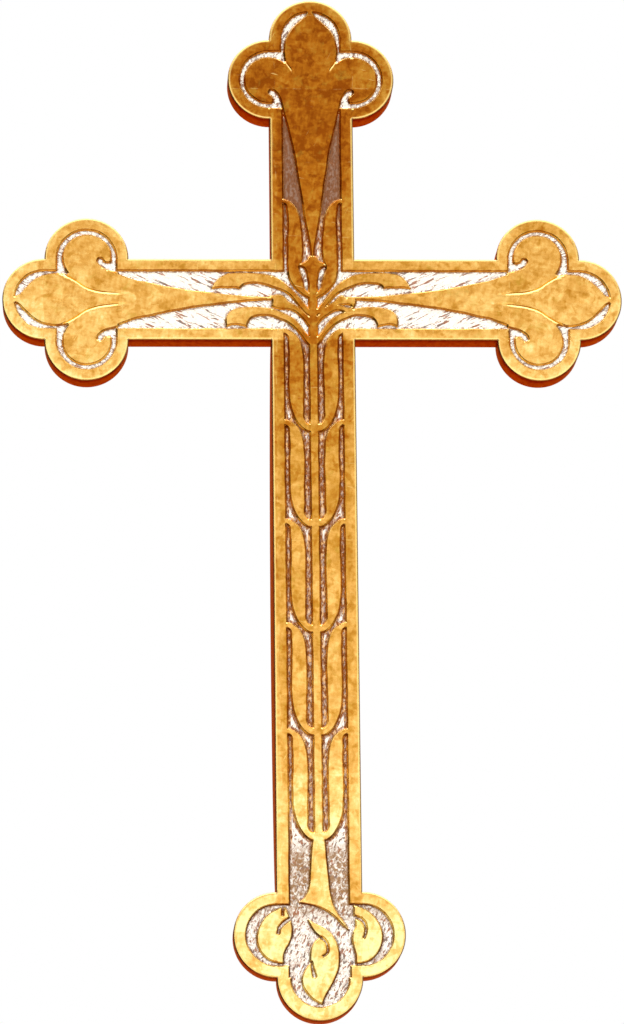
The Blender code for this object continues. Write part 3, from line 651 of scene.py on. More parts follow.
def bake_modifiers(piece):
    """Replaces the piece's mesh by what its modifiers make of it."""
    graph = bpy.context.evaluated_depsgraph_get()
    result = bpy.data.meshes.new_from_object(piece.evaluated_get(graph))
    piece.modifiers.clear()
    piece.data = result


def combine(piece, operation, cutter):
    """Combines the piece with the cutter, and removes the cutter."""
    modifier = piece.modifiers.new("cut", "BOOLEAN")
    modifier.operation = operation
    modifier.solver = "EXACT"
    modifier.object = cutter
    bake_modifiers(piece)
    bpy.data.objects.remove(cutter)


def shaft_flare(points):
    """How far the sides of the shaft lean outwards at the back, in mm, for each vertex."""
    share = np.clip((points[:, 1] + R) / (FOOT_LOBE + 3 * R), 0, 1)
    most = np.where(points[:, 0] < 0, LEFT_FLARE, RIGHT_FLARE)
    return np.sign(points[:, 0]) * most * np.sin(math.pi * share) ** 0.6


def carved_front(rim_points, face, fill):
    """(vertices, faces, rim, rim's depths) of the carved face inside a closed rim."""
    count = len(rim_points)
    near_rim = kd_tree(rim_points)
    held = fill[inside(fill, [tuple(q) for q in rim_points.tolist()])]
    held = held[[near_rim.find((x, z, 0))[2] > EDGE_CLEAR for x, z in held.tolist()]]
    plane = np.concatenate([rim_points, held])
    loop = [(i, (i + 1) % count) for i in range(count)]
    _, _, triangles, origins, *_ = delaunay_2d_cdt([Vector(q) for q in plane], loop, [], 1, 1e-5)
    source = [first[0] for first in origins]
    depth = face.depth(plane)
    verts = [(plane[i][0], depth[i], plane[i][1]) for i in source]
    place = {i: k for k, i in enumerate(source)}
    faces = [tuple(place[source[k]] for k in triangle) for triangle in triangles]
    return verts, faces, [place[i] for i in range(count)], depth[:count]


def rows_to_back(points, inward, outer, rim_depth, flare):
    """(vertices, depths, material) of each row from the carved face round to the back."""
    rows = []
    for step in range(1, ROUNDING_STEPS + 1):
        turn = math.radians(90 * step / ROUNDING_STEPS)
        inset = OUTER_ROUNDING * (1 - math.sin(turn)) * outer
        drop = OUTER_ROUNDING * (1 - math.cos(turn))
        fallen = np.where(outer > 0, drop, JOINT_ROUNDING * step)
        rows.append((points + inward * inset[:, None], rim_depth + fallen, EDGE))
    count = len(points)
    leaning = points + np.stack([flare, np.zeros(count)], axis=1)
    rows.append((leaning, np.full(count, THICKNESS - BACK_CHAMFER), EDGE))
    rows.append((leaning + inward * (BACK_CHAMFER * outer)[:, None], np.full(count, THICKNESS), BACK))
    return rows


def carved_solid(name, points, face, fill, materials):
    """A closed board or lobe: carved face, worn outer edge, side walls and back."""
    p = np.array(points)
    count = len(p)
    inward, outer = rim_frames(points, face.rim)
    shrunk = p + inward * (OUTER_ROUNDING * outer)[:, None]
    verts, faces, last, rim_depth = carved_front(shrunk, face, fill)
    kinds = [FRONT] * len(faces)
    flare = shaft_flare(p) if "upright" in name else np.zeros(count)
    for ring, deep, kind in rows_to_back(p, inward, outer, rim_depth, flare):
        first = len(verts)
        verts += [(x, d, z) for (x, z), d in zip(ring.tolist(), deep.tolist())]
        current = list(range(first, first + count))
        for i in range(count):
            j = (i + 1) % count
            faces.append((last[i], last[j], current[j], current[i]))
            kinds.append(kind if outer[i] and outer[j] else BACK)
        last = current
    faces.append(tuple(last))
    kinds.append(BACK)

    mesh = bpy.data.meshes.new(name)
    mesh.from_pydata(verts, [], faces)
    for material in materials:
        mesh.materials.append(material)
    mesh.polygons.foreach_set("material_index", kinds)
    mesh.transform(TO_CROSS)
    face_outwards(mesh)
    return link_object(name, mesh)


def box_between(bm, low, high):
    """A box between two corners, in the drawing's x, depth, z."""
    size = Vector(high) - Vector(low)
    place = Matrix.Translation((Vector(high) + Vector(low)) / 2) @ Matrix.Diagonal((*size, 1))
    bmesh.ops.create_cube(bm, size=1, matrix=place)


def turned(profile, steps, radius_at=None):
    """Vertices and faces of a turned solid. The profile is (radius, height) and ends on the axis."""
    verts, faces, rings = [], [], []
    for radius, height in profile:
        first = len(verts)
        count = steps if radius else 1
        for i in range(count):
            turn = math.tau * i / steps
            r = radius_at(radius, height, turn) if radius and radius_at else radius
            verts.append((r * math.cos(turn), r * math.sin(turn), height))
        rings.append([first + i % count for i in range(steps)])
    for low, high in zip(rings, rings[1:]):
        for i in range(steps):
            j = (i + 1) % steps
            faces.append(tuple(dict.fromkeys((low[i], low[j], high[j], high[i]))))
    return verts, faces


def add_turned(bm, profile, place, steps=32):
    points, faces = turned(profile, steps)
    verts = [bm.verts.new(place @ Vector(point)) for point in points]
    for face in faces:
        bm.faces.new([verts[i] for i in face])


def subtract(piece, build, materials):
    """Cuts what build(bm) makes, in the drawing's millimetres, out of the piece."""
    bm = bmesh.new()
    build(bm)
    bmesh.ops.recalc_face_normals(bm, faces=bm.faces)
    bmesh.ops.transform(bm, matrix=TO_CROSS, verts=bm.verts)
    for polygon in bm.faces:
        polygon.material_index = BACK
    mesh = bpy.data.meshes.new("cutter")
    bm.to_mesh(mesh)
    bm.free()
    for material in materials:
        mesh.materials.append(material)
    combine(piece, "DIFFERENCE", link_object("cutter", mesh))


def finish_piece(piece, node, body="cross"):
    piece.data.shade_smooth()
    piece.data.set_sharp_from_angle(angle=SHARP_ANGLE)
    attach(piece, body)
    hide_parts(node)


def note_distances(piece, face):
    """Stores how far each vertex is inside the carved ground and inside the outer edge, in mm."""
    mesh = piece.data
    places = np.empty(len(mesh.vertices) * 3, np.float32)
    mesh.vertices.foreach_get("co", places)
    flat = places.reshape(-1, 3)[:, [0, 2]].astype(float) / MM - (CENTRE.x / MM, CENTRE.z / MM)
    for name, boundary in (("ground", face.edge), ("rim", face.rim)):
        values = np.clip(boundary.measure(flat)[0], *DISTANCE_LIMITS)
        mesh.attributes.new(name, "FLOAT", "POINT").data.foreach_set("value", values.astype(np.float32))


# ---------------------------------------------------------------- joints and fittings

DOWEL_RADIUS = 4.0
DOWEL_LENGTH = 36.0
SCREW_RADIUS = 2.0
SCREW_HEAD = 4.0
HOLE_GAP = 0.3
LAP_SCREW_REACH = 22.3        # below the back, to the tip
HANGER_SCREW_REACH = 18.0
THREAD_PITCH = 1.5
PLATE_HALF_WIDTH = 8.0
PLATE_THICKNESS = 1.5
PLATE_BELOW_PIVOT = 60.0
PLATE_ABOVE_PIVOT = 12.0
PLATE_CORNER = 5.0
PLATE_ROUNDING = 0.25
KNUCKLE_BORE = 2.1
WIRE = 1.75                   # radius
RING_HALF_WIDTH = 11.75
RING_LEG = 10.0
RING_CORNER = 3.0
FLUTES = 24
FLUTE_DEPTH = 0.22
SCREW_STEPS = 40
TIP_LENGTH = 3.0
THREAD_STEP = 0.2
THREAD_ROOT = 0.7             # as a share of the crest's radius
LAP_THREAD_END = -4.2         # heights from the back
HANGER_THREAD_END = -0.6
PAD_STEPS = 72
PAD_ROUNDING = 1.0
PAST_THE_WOOD = 5.0           # how far the cutters reach beyond what they cut
PAST_THE_SIDES = 20.0
LAP_HOLE_TOP = 2.0
HANGER_HOLE_TOP = 3.0
PLATE_CLEAR = 3.0
PAST_THE_STRAP = 8.0
PAST_THE_KNUCKLE = 14.0

# Profiles of the screw heads as (radius, height), from the shank to the axis
LAP_SCREW_HEAD = (
    (SCREW_RADIUS, SCREW_RADIUS - SCREW_HEAD - HOLE_GAP), (SCREW_HEAD - 0.15, -HOLE_GAP - 0.25),
    (SCREW_HEAD, -HOLE_GAP - 0.15), (SCREW_HEAD - 0.12, -HOLE_GAP), (0, -HOLE_GAP),
)
HANGER_SCREW_HEAD = (
    (SCREW_RADIUS, 2.1), (3.75, 2.1), (3.93, 2.18), (4, 2.35), (4, 2.9), (3.92, 3.3), (3.72, 3.65),
    (3.4, 3.92), (2.95, 4.12), (2.4, 4.24), (1.4, 4.29), (0, 4.3),
)

NODES = sorted(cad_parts)


def middle_of(node):
    low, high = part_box(node)
    return (low + high) / 2


def in_drawing(place):
    """A world point in the drawing's millimetres."""
    return (Vector(place) - CENTRE) / MM


def facing_back(point):
    """A frame at a point, with Z towards the wall."""
    return Matrix.Translation(point) @ Matrix.Rotation(math.radians(-90), 4, "X")


def dowel_frame(node):
    """The frame at a dowel's middle, with Z along it."""
    low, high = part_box(node)
    is_level = high.x - low.x > high.z - low.z
    turn = Matrix.Rotation(math.radians(90), 4, "Y") if is_level else Matrix()
    return Matrix.Translation(in_drawing(middle_of(node))) @ turn


def screw_places(kind):
    """Each screw's node and its point on the plane of the back, in the drawing."""
    places = {}
    for node in NODES:
        if node.startswith(kind):
            x, _, z = in_drawing(middle_of(node))
            places[node] = Vector((x, THICKNESS, z))
    return places


def cut_dowel_holes(bm, nodes):
    half, radius = DOWEL_LENGTH / 2 + HOLE_GAP, DOWEL_RADIUS + HOLE_GAP
    for node in nodes:
        add_turned(bm, [(0, -half), (radius, -half), (radius, half), (0, half)], dowel_frame(node))


def cut_screw_holes(bm):
    shank, head = SCREW_RADIUS + HOLE_GAP, SCREW_HEAD + HOLE_GAP
    end = -LAP_SCREW_REACH - HOLE_GAP
    neck = SCREW_RADIUS - SCREW_HEAD - HOLE_GAP
    top = LAP_HOLE_TOP
    profile = [(0, end), (shank, end), (shank, neck), (head, -HOLE_GAP), (head, top), (0, top)]
    for place in screw_places("lap_screw").values():
        add_turned(bm, profile, facing_back(place))
    end, top = -HANGER_SCREW_REACH - HOLE_GAP, HANGER_HOLE_TOP
    for place in screw_places("hanger_screw").values():
        add_turned(bm, [(0, end), (shank, end), (shank, top), (0, top)], facing_back(place))


def new_piece(name, verts, faces, place, material):
    """An object from a mesh in millimetres, at a frame of the drawing."""
    mesh = bpy.data.meshes.new(name)
    mesh.from_pydata(verts, [], faces)
    mesh.transform(Matrix.Scale(MM, 4))
    mesh.materials.append(material)
    face_outwards(mesh)
    piece = link_object(name, mesh)
    piece.matrix_world = Matrix.Translation(CENTRE + place.translation * MM) @ place.to_3x3().to_4x4()
    return piece


def combine_solid(piece, operation, verts, faces):
    """Combines the piece with a solid given in the piece's own millimetres."""
    cutter = new_piece("cutter", verts, faces, Matrix(), piece.data.materials[0])
    cutter.matrix_world = piece.matrix_world.copy()
    combine(piece, operation, cutter)


def soften_edges(piece, width):
    modifier = piece.modifiers.new("soft", "BEVEL")
    modifier.width = width * MM
    modifier.segments = 3
    modifier.angle_limit = SHARP_ANGLE
    bake_modifiers(piece)


def prism(points, to_start, way):
    """Verts and faces of a closed outline pushed along a vector."""
    count = len(points)
    start = [Vector(to_start(*point)) for point in points]
    verts = [tuple(v) for v in start] + [tuple(v + Vector(way)) for v in start]
    sides = [(i, (i + 1) % count, count + (i + 1) % count, count + i) for i in range(count)]
    return verts, [tuple(range(count)), tuple(range(2 * count - 1, count - 1, -1))] + sides


def cross_recess(top, arm=2.2, half=0.5, depth=1.2, taper=0.62):
    """A tapered cross that sinks into a screw head whose top is at this height."""
    points = []
    for quarter in range(4):
        turn = Matrix.Rotation(math.radians(90 * quarter), 2)
        points += [tuple(turn @ Vector(p)) for p in ((half, half), (half, arm), (-half, arm))]
    verts, faces = prism(points, lambda a, b: (a, b, top - depth), (0, 0, depth + 2))
    return [(x * taper, y * taper, z) if z < top else (x, y, z) for x, y, z in verts], faces


def threaded(crest_end):
    """A radius rule that gives the shank a thread below a height."""
    def rule(radius, height, turn):
        if height > crest_end or radius > SCREW_RADIUS + 0.01:
            return radius
        ridge = abs((height / THREAD_PITCH - turn / math.tau) % 1 - 0.5) * 2
        return radius * (THREAD_ROOT + 0.3 * ridge**2)
    return rule


def add_screws(steel):
    for kind, reach, crest_end, head in (
        ("lap_screw", LAP_SCREW_REACH, LAP_THREAD_END, LAP_SCREW_HEAD),
        ("hanger_screw", HANGER_SCREW_REACH, HANGER_THREAD_END, HANGER_SCREW_HEAD),
    ):
        tip = [(SCREW_RADIUS * t / TIP_LENGTH, t - reach) for t in (0, 0.5, 1, 1.5, 2, 2.5)]
        heights = np.arange(TIP_LENGTH - reach, crest_end + 0.3, THREAD_STEP)
        shank = [(SCREW_RADIUS, height) for height in heights]
        verts, faces = turned(tip + shank + list(head), SCREW_STEPS, threaded(crest_end))
        top = head[-1][1]
        for node, place in screw_places(kind).items():
            piece = new_piece("detailed_" + node, verts, faces, facing_back(place), steel)
            own_turn = 0.6 * place.x + 0.9 * place.z
            piece.rotation_euler.rotate_axis("Z", own_turn)
            bpy.context.view_layer.update()
            combine_solid(piece, "DIFFERENCE", *cross_recess(top))
            finish_piece(piece, node)


def add_dowels(beech):
    half = DOWEL_LENGTH / 2
    profile = [(0, -half), (DOWEL_RADIUS - 1, -half), (DOWEL_RADIUS - 0.2, 0.7 - half)]
    profile.append((DOWEL_RADIUS, 1.2 - half))
    profile += [(r, -h) for r, h in reversed(profile)]

    def flutes(radius, height, turn):
        return radius - FLUTE_DEPTH * max(0.0, math.cos(FLUTES * turn)) ** 2

    fluted = turned(profile, 4 * FLUTES, flutes)
    for node in NODES:
        if "dowel" in node:
            piece = new_piece("fluted_" + node, *fluted, dowel_frame(node), beech)
            finish_piece(piece, node)


def add_pads(rubber):
    low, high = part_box("foot_wall_pad")
    radius, height = (high.x - low.x) / 2 / MM, (high.y - low.y) / MM
    foot = (low.y - upright_high.y) / MM
    middle, shoulder = radius - PAD_ROUNDING, foot + height - PAD_ROUNDING
    edge = [(middle + PAD_ROUNDING * math.sin(a), shoulder + PAD_ROUNDING * math.cos(a))
            for a in np.linspace(math.pi / 2, 0, 9)]
    profile = [(0, foot), (radius - 0.35, foot), (radius - 0.1, foot + 0.1), (radius, foot + 0.35)] + edge
    top = foot + height
    dimple = ((4.0, 0), (3.6, 0.12), (3.3, 0.5), (2.9, 1.1), (2.4, 1.3), (0, 1.3))
    profile += [(r, top - sunk) for r, sunk in dimple]
    for node in ("left_wall_pad", "right_wall_pad", "foot_wall_pad"):
        x, _, z = in_drawing(middle_of(node))
        place = facing_back((x, THICKNESS, z))
        piece = new_piece("moulded_" + node, *turned(profile, PAD_STEPS), place, rubber)
        finish_piece(piece, node)


def ring_pivot():
    """The middle of the ring's straight side, in the drawing. At rest the ring hangs down."""
    low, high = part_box("hanger_ring")
    return in_drawing(((low.x + high.x) / 2, (low.y + high.y) / 2, high.z)) - Vector((0, 0, WIRE))


def across_plate(outline_points, depth):
    """A solid that passes through the plate from its front to this depth."""
    return prism(outline_points, lambda x, z: (x, -PLATE_CLEAR, z), (0, depth, 0))


def add_hanger_plate(pivot, steel):
    low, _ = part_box("hanger_plate")
    back = (low.y - upright_high.y) / MM            # the gap behind the strap
    axis = back + PLATE_THICKNESS + KNUCKLE_BORE
    outer = KNUCKLE_BORE + PLATE_THICKNESS
    roll = arc((axis, 0), outer, 180, -60, 48) + arc((axis, 0), KNUCKLE_BORE, -60, 180, 40)
    profile = [(back + PLATE_THICKNESS, -PLATE_BELOW_PIVOT), (back, -PLATE_BELOW_PIVOT)] + roll
    place = Matrix.Translation((pivot.x, THICKNESS, pivot.z))
    half = PLATE_HALF_WIDTH
    strap = prism(profile, lambda y, z: (-half, y, z), (2 * half, 0, 0))
    plate = new_piece("rolled_hanger_plate", *strap, place, steel)
    bpy.context.view_layer.update()
    corner, end, side = PLATE_CORNER, -PLATE_BELOW_PIVOT, half + 0.01
    rounded = arc((corner - half, end + corner), corner, 180, 270, 12)
    rounded += arc((half - corner, end + corner), corner, 270, 360, 12)
    rounded += [(side, 0), (side, PLATE_ABOVE_PIVOT), (-side, PLATE_ABOVE_PIVOT), (-side, 0)]
    combine_solid(plate, "INTERSECT", *across_plate(rounded, PAST_THE_KNUCKLE))
    for hole in screw_places("hanger_screw").values():
        hole_outline = circle((hole.x - pivot.x, hole.z - pivot.z), SCREW_RADIUS + HOLE_GAP)
        combine_solid(plate, "DIFFERENCE", *across_plate(hole_outline, PAST_THE_STRAP))
    soften_edges(plate, PLATE_ROUNDING)
    finish_piece(plate, "hanger_plate")


def add_hanger_ring(pivot, steel):
    """The ring of bent wire, from one corner round to the other. Its straight side is the pin."""
    corner, centre = RING_CORNER, RING_HALF_WIDTH - RING_CORNER
    path = arc((centre, -corner), corner, 90, 0, 12)
    path += arc((0, -RING_LEG), RING_HALF_WIDTH, 0, -180, 64)
    path += arc((-centre, -corner), corner, 180, 90, 12)
    curve = bpy.data.curves.new("ring_wire", "CURVE")
    curve.dimensions = "3D"
    curve.bevel_depth = WIRE * MM
    curve.bevel_resolution = 8
    spline = curve.splines.new("POLY")
    spline.points.add(len(path) - 1)
    for point, (x, z) in zip(spline.points, path):
        point.co = (x * MM, 0, z * MM, 1)
    spline.use_cyclic_u = True
    wire = link_object("ring_wire", curve)
    graph = bpy.context.evaluated_depsgraph_get()
    mesh = bpy.data.meshes.new_from_object(wire.evaluated_get(graph))
    bpy.data.objects.remove(wire)
    mesh.materials.clear()
    mesh.materials.append(steel)
    ring = link_object("bent_hanger_ring", mesh)
    ring.matrix_world = Matrix.Translation(CENTRE + pivot * MM)
    finish_piece(ring, "hanger_ring", "ring")


# ---------------------------------------------------------------- materials

def set_input(tree, socket, value):
    """Links an output to the socket, or sets its value. A colour is (red, green, blue)."""
    if isinstance(value, bpy.types.NodeSocket):
        tree.links.new(value, socket)
    else:
        socket.default_value = (*value, 1) if socket.type == "RGBA" else value


def add_node(tree, kind, inputs, **settings):
    made = tree.nodes.new("ShaderNode" + kind)
    for key, value in settings.items():
        setattr(made, key, value)
    for key, value in inputs.items():
        set_input(tree, made.inputs[key], value)
    return made


def set_stops(made, stops):
    """Gives a colour ramp its (position, colour) stops."""
    elements = made.color_ramp.elements
    while len(elements) > 1:
        elements.remove(elements[-1])
    for i, (position, color) in enumerate(stops):
        stop = elements[0] if i == 0 else elements.new(position)
        stop.position = position
        stop.color = (*color, 1)


class Shader:
    """A node material whose nodes are made by short calls."""

    def __init__(self, name, centre=CENTRE):
        self.material = bpy.data.materials.new(name)
        self.material.use_nodes = True
        self.tree = self.material.node_tree
        self.surface = self.tree.nodes["Principled BSDF"]
        coordinates = self.tree.nodes.new("ShaderNodeTexCoord").outputs["Object"]
        self.place = self.vector("SUBTRACT", coordinates, tuple(centre))

    def node(self, kind, inputs, **settings):
        return add_node(self.tree, kind, inputs, **settings)

    def math(self, operation, a, b=0.0, clamp=False):
        return self.node("Math", {0: a, 1: b}, operation=operation, use_clamp=clamp).outputs[0]

    def vector(self, operation, a, b=(0, 0, 0)):
        return self.node("VectorMath", {0: a, 1: b}, operation=operation).outputs[0]

    def split(self, vector):
        return self.node("SeparateXYZ", {0: vector}).outputs

    def attribute(self, name):
        return self.node("Attribute", {}, attribute_name=name).outputs["Fac"]

    def turn(self, angle, squeeze=(1, 1, 1), place=None):
        """The place, turned in the plane of the face and squeezed."""
        inputs = {"Vector": place or self.place, "Angle": math.radians(angle)}
        turned_place = self.node("VectorRotate", inputs, rotation_type="Y_AXIS").outputs[0]
        return self.vector("MULTIPLY", turned_place, squeeze)

    def noise(self, size, detail=3.0, distortion=0.0, place=None, seed=0.0):
        """Fractal noise whose features are about this many millimetres across."""
        inputs = {"Vector": place or self.place, "W": seed, "Scale": 1 / (size * MM)}
        inputs.update({"Detail": detail, "Distortion": distortion})
        return self.node("TexNoise", inputs, noise_dimensions="4D").outputs["Fac"]

    def centred_noise(self, amount, size, detail=3.0, **more):
        """Noise about zero, of about this amount."""
        centred = self.math("SUBTRACT", self.noise(size, detail, **more), 0.5)
        return self.math("MULTIPLY", centred, amount * 2)

    def ramp(self, value, low, high):
        """0 below low, 1 above high, smooth between."""
        inputs = {"Value": value, "From Min": low, "From Max": high}
        return self.node("MapRange", inputs, interpolation_type="SMOOTHSTEP").outputs[0]

    def span(self, place, stretch):
        """0 where a stretch in millimetres starts, 1 where it ends, smooth between."""
        return self.ramp(place, stretch[0] * MM, stretch[1] * MM)

    def patches(self, low, high, *size_and_detail, **more):
        """Noise made into patches: 0 where it is below low, 1 above high."""
        return self.ramp(self.noise(*size_and_detail, **more), low, high)

    def product(self, *values):
        result = values[0]
        for value in values[1:]:
            result = self.math("MULTIPLY", result, value)
        return result

    def total(self, *values):
        result = values[0]
        for value in values[1:]:
            result = self.math("ADD", result, value)
        return result

    def mix(self, share, a, b):
        made = self.node("Mix", {}, data_type="RGBA")
        for key, value in (("Factor_Float", share), ("A_Color", a), ("B_Color", b)):
            set_input(self.tree, next(s for s in made.inputs if s.identifier == key), value)
        return next(s for s in made.outputs if s.identifier == "Result_Color")

    def blend(self, share, a, b, low=0.0, high=1.0):
        """A number from a, where the share is low or less, to b, where it is high or more."""
        inputs = {"Value": share, "From Min": low, "From Max": high, "To Min": a, "To Max": b}
        return self.node("MapRange", inputs).outputs[0]

    def tones(self, value, stops):
        """A colour from (position, colour) stops."""
        made = self.node("ValToRGB", {0: value})
        set_stops(made, stops)
        return made.outputs[0]

    def bump(self, height, distance, strength):
        inputs = {"Height": height, "Distance": distance * MM, "Strength": strength}
        return self.node("Bump", inputs).outputs[0]

    def set(self, **values):
        for key, value in values.items():
            set_input(self.tree, self.surface.inputs[key.replace("_", " ").title()], value)
        return self.material


# Gold leaf from pale, at 0, to deep, at 1. Its climb from FOOT_TONE to HEAD_TONE is painted shade, deeper
# where less light falls towards the head
GOLD_TONES = (
    (0.0, (0.95, 0.86, 0.42)),
    (0.2, (0.88, 0.60, 0.20)),
    (0.4, (0.72, 0.40, 0.095)),
    (0.6, (0.53, 0.26, 0.034)),
    (0.8, (0.42, 0.145, 0.010)),
    (1.0, (0.27, 0.068, 0.004)),
)
FOOT_TONE = 0.05
HEAD_TONE = 0.83
ARM_TONE = 0.35
# Painted shade: the dark colour of gold walls that face away from the light, at the foot and in the
# upright's slots
PAINTED_SHADE_BOLE = (0.15, 0.035, 0.007)
SHADED_GOLD = (0.58, 0.29, 0.08)
# Pale gold of worn leaf, laps and scratches, and also of painted highlights on slopes and edges that turn
# towards the light
PALE_WORN_AND_HIGHLIT_GOLD = (1.0, 0.80, 0.32)
FOOT_EDGE = (0.84, 0.46, 0.13)
OUTERMOST_GOLD = (0.70, 0.30, 0.06)
GREEN_GOLD = (0.50, 0.36, 0.05)
LEAF_EDGE_TINT = (0.9, 0.5, 0.2)
BOLE_EDGE_TINT = (0.85, 0.35, 0.06)
SILVER = (0.98, 0.975, 0.97)
SILVER_STAIN = (0.50, 0.36, 0.28)
SPECKLE = (0.3, 0.2, 0.16)
STROKE_DIRT = (0.20, 0.14, 0.13)
STROKE_BOLE = (0.36, 0.13, 0.06)
# Painted shade: the silver's dark colour near the foot of the carved walls
WALL_FOOT_SHADE = (0.27, 0.16, 0.12)
# Painted shade in the upright's narrow slots; SLOT_GLINT is its painted glint
SLOT_SHADE = (0.27, 0.085, 0.022)
SLOT_GLINT = (0.74, 0.44, 0.20)
WEDGE_DIRT = (0.22, 0.095, 0.048)
PANEL_DIRT = (0.34, 0.19, 0.09)
ARM_STROKES = (24, (0.13, 1, 1))        # the tool strokes' turn in degrees, and their squeeze
SHAFT_STROKES = (66, (0.42, 1, 1))
LEAF_PITCH = 82.5             # from one leaf's edge to the next, in millimetres
LEAF_OFFSET = (-33.0, -7.5)   # a line of laps, from the crossing, in x and in z

# Stretches over which the leaf changes, in millimetres: where the change starts and where it is
# complete. These lie across, from the middle line of the upright:
PANEL_SIDES = (34, 31.5)
BORDER_SIDES = (29, 32)
SHAFT_TO_ARM = (14, 37)
ALONG_ARM = (240, 60)
HEADS_RIGHT = (30, 75)
# these are heights from the crossing:
HEAD_PALES = (170, 230)
HEAD_CHANNELS = (200, 240)
WEDGE_TOP = (206, 196)
WEDGE_BOTTOM = (75, 105)
OVER_ARMS = (36, 50)
BROWN_TOP = (130, 90)
BROWN_BOTTOM = (30, 44)
ARM_SIDES = (46, 43)
UNDER_ARMS = (-36, -50)
DOWN_SHAFT = (-200, -600)
FOOT_GOLD = (-545, -600)
FOOT_SILVER = (-575, -600)
SLOT_END = (-600, -575)
FOOT_TOP = (-655, -640)
FOOT_PANEL = (-670, -640)
# and these are depths behind the face:
SIDE_LEAF_END = (0.35, 0.9)
SIDE_SHEEN_END = (0.5, 2)
SIDE_BOLE_PALES = (3, 14)


def leaf_laps(shader):
    """(laps, tones): thin lines where one gold leaf overlaps the next, and each leaf's own tone."""
    drift = shader.noise(60, 2, seed=4)
    lines, cells = [], []
    for axis, offset in ((0, LEAF_OFFSET[0]), (2, LEAF_OFFSET[1])):
        place = shader.math("ADD", shader.split(shader.place)[axis], -offset * MM)
        wavy = shader.math("ADD", place, shader.math("MULTIPLY", drift, 0.012))
        turns = shader.math("DIVIDE", wavy, LEAF_PITCH * MM)
        share = shader.math("FRACT", turns)
        lines.append(shader.math("MINIMUM", share, shader.math("SUBTRACT", 1.0, share)))
        cells.append(shader.math("FLOOR", turns))
    edge = shader.math("MINIMUM", *lines)
    laps = shader.math("SUBTRACT", 1.0, shader.ramp(edge, 0.003, 0.011))
    cell = shader.node("CombineXYZ", {0: cells[0], 2: cells[1]}).outputs[0]
    leaf = shader.node("TexWhiteNoise", {"Vector": cell}, noise_dimensions="3D").outputs["Value"]
    broken = shader.patches(0.48, 0.62, 9, 4, seed=6)
    return shader.product(laps, broken), leaf


def scratches(shader, seed, angle, density=0.72):
    """Fine, short hairlines in one direction."""
    fine = shader.noise(1.2, 1, place=shader.turn(angle, (1 / 24, 1, 1)), seed=seed)
    here = shader.patches(0.5, 0.62, 13, 2, seed=seed + 9)
    return shader.product(shader.ramp(fine, density, density + 0.05), here)


def gold_leaf(shader, arm_share, pale=0.0):
    """(colour, laps) of laid gold leaf. arm_share is 1 where the leaf is the arms' paler one."""
    laps, leaf = leaf_laps(shader)
    across, _, height = shader.split(shader.place)[:3]
    outwards = shader.math("ABSOLUTE", across)
    # Painted shade: the leaf deepens from the foot up to the head, and across each arm from its lower edge
    # up to its upper one, for light that falls off upwards
    rise = shader.blend(height, FOOT_TONE, HEAD_TONE, FOOT_LOBE * MM, 60 * MM)
    arm_tone = shader.blend(height, ARM_TONE - 0.07, ARM_TONE + 0.055, -R * MM, R * MM)
    sideways = shader.math("MULTIPLY", across, 0.10)
    inwards = shader.product(shader.span(outwards, ALONG_ARM), 0.10)
    arm_tone = shader.total(arm_tone, sideways, inwards, 0.005)
    beside = shader.product(shader.span(outwards, BORDER_SIDES), shader.span(height, FOOT_TOP))
    towards_foot = shader.span(height, DOWN_SHAFT)
    rise = shader.math("ADD", rise, shader.product(beside, shader.blend(towards_foot, 0.04, 0.15)))
    above = shader.product(shader.span(height, BROWN_TOP), shader.span(height, BROWN_BOTTOM))
    rise = shader.math("SUBTRACT", rise, shader.product(above, shader.blend(beside, 0.06, 0.14)))
    rise = shader.node("Mix", {0: arm_share, 2: rise, 3: arm_tone}).outputs[0]
    rise = shader.math("SUBTRACT", rise, pale)
    spots = shader.product(shader.patches(0.50, 0.62, 14, 3, 1.0, seed=2), 0.16)
    tone = shader.total(
        rise, spots, -0.035,
        shader.centred_noise(0.12, 2.4, 3, place=shader.turn(80, (1 / 7, 1, 1)), seed=7),
        shader.centred_noise(0.08, 2.2, 3, place=shader.turn(-12, (1 / 7, 1, 1)), seed=9),
        shader.centred_noise(0.26, 26, 3, distortion=0.8, seed=1),
        shader.centred_noise(0.27, 9, 2, distortion=0.8, seed=3),
        shader.centred_noise(0.14, 3.2, 2, seed=5),
        shader.math("MULTIPLY", shader.math("SUBTRACT", leaf, 0.5), 0.13),
    )
    color = shader.tones(tone, GOLD_TONES)
    green = shader.patches(0.55, 0.72, 12, 4, 0.8, seed=8)
    color = shader.mix(shader.math("MULTIPLY", green, 0.3), color, GREEN_GOLD)
    color = shader.mix(shader.math("MULTIPLY", laps, 0.2), color, PALE_WORN_AND_HIGHLIT_GOLD)
    return color, laps


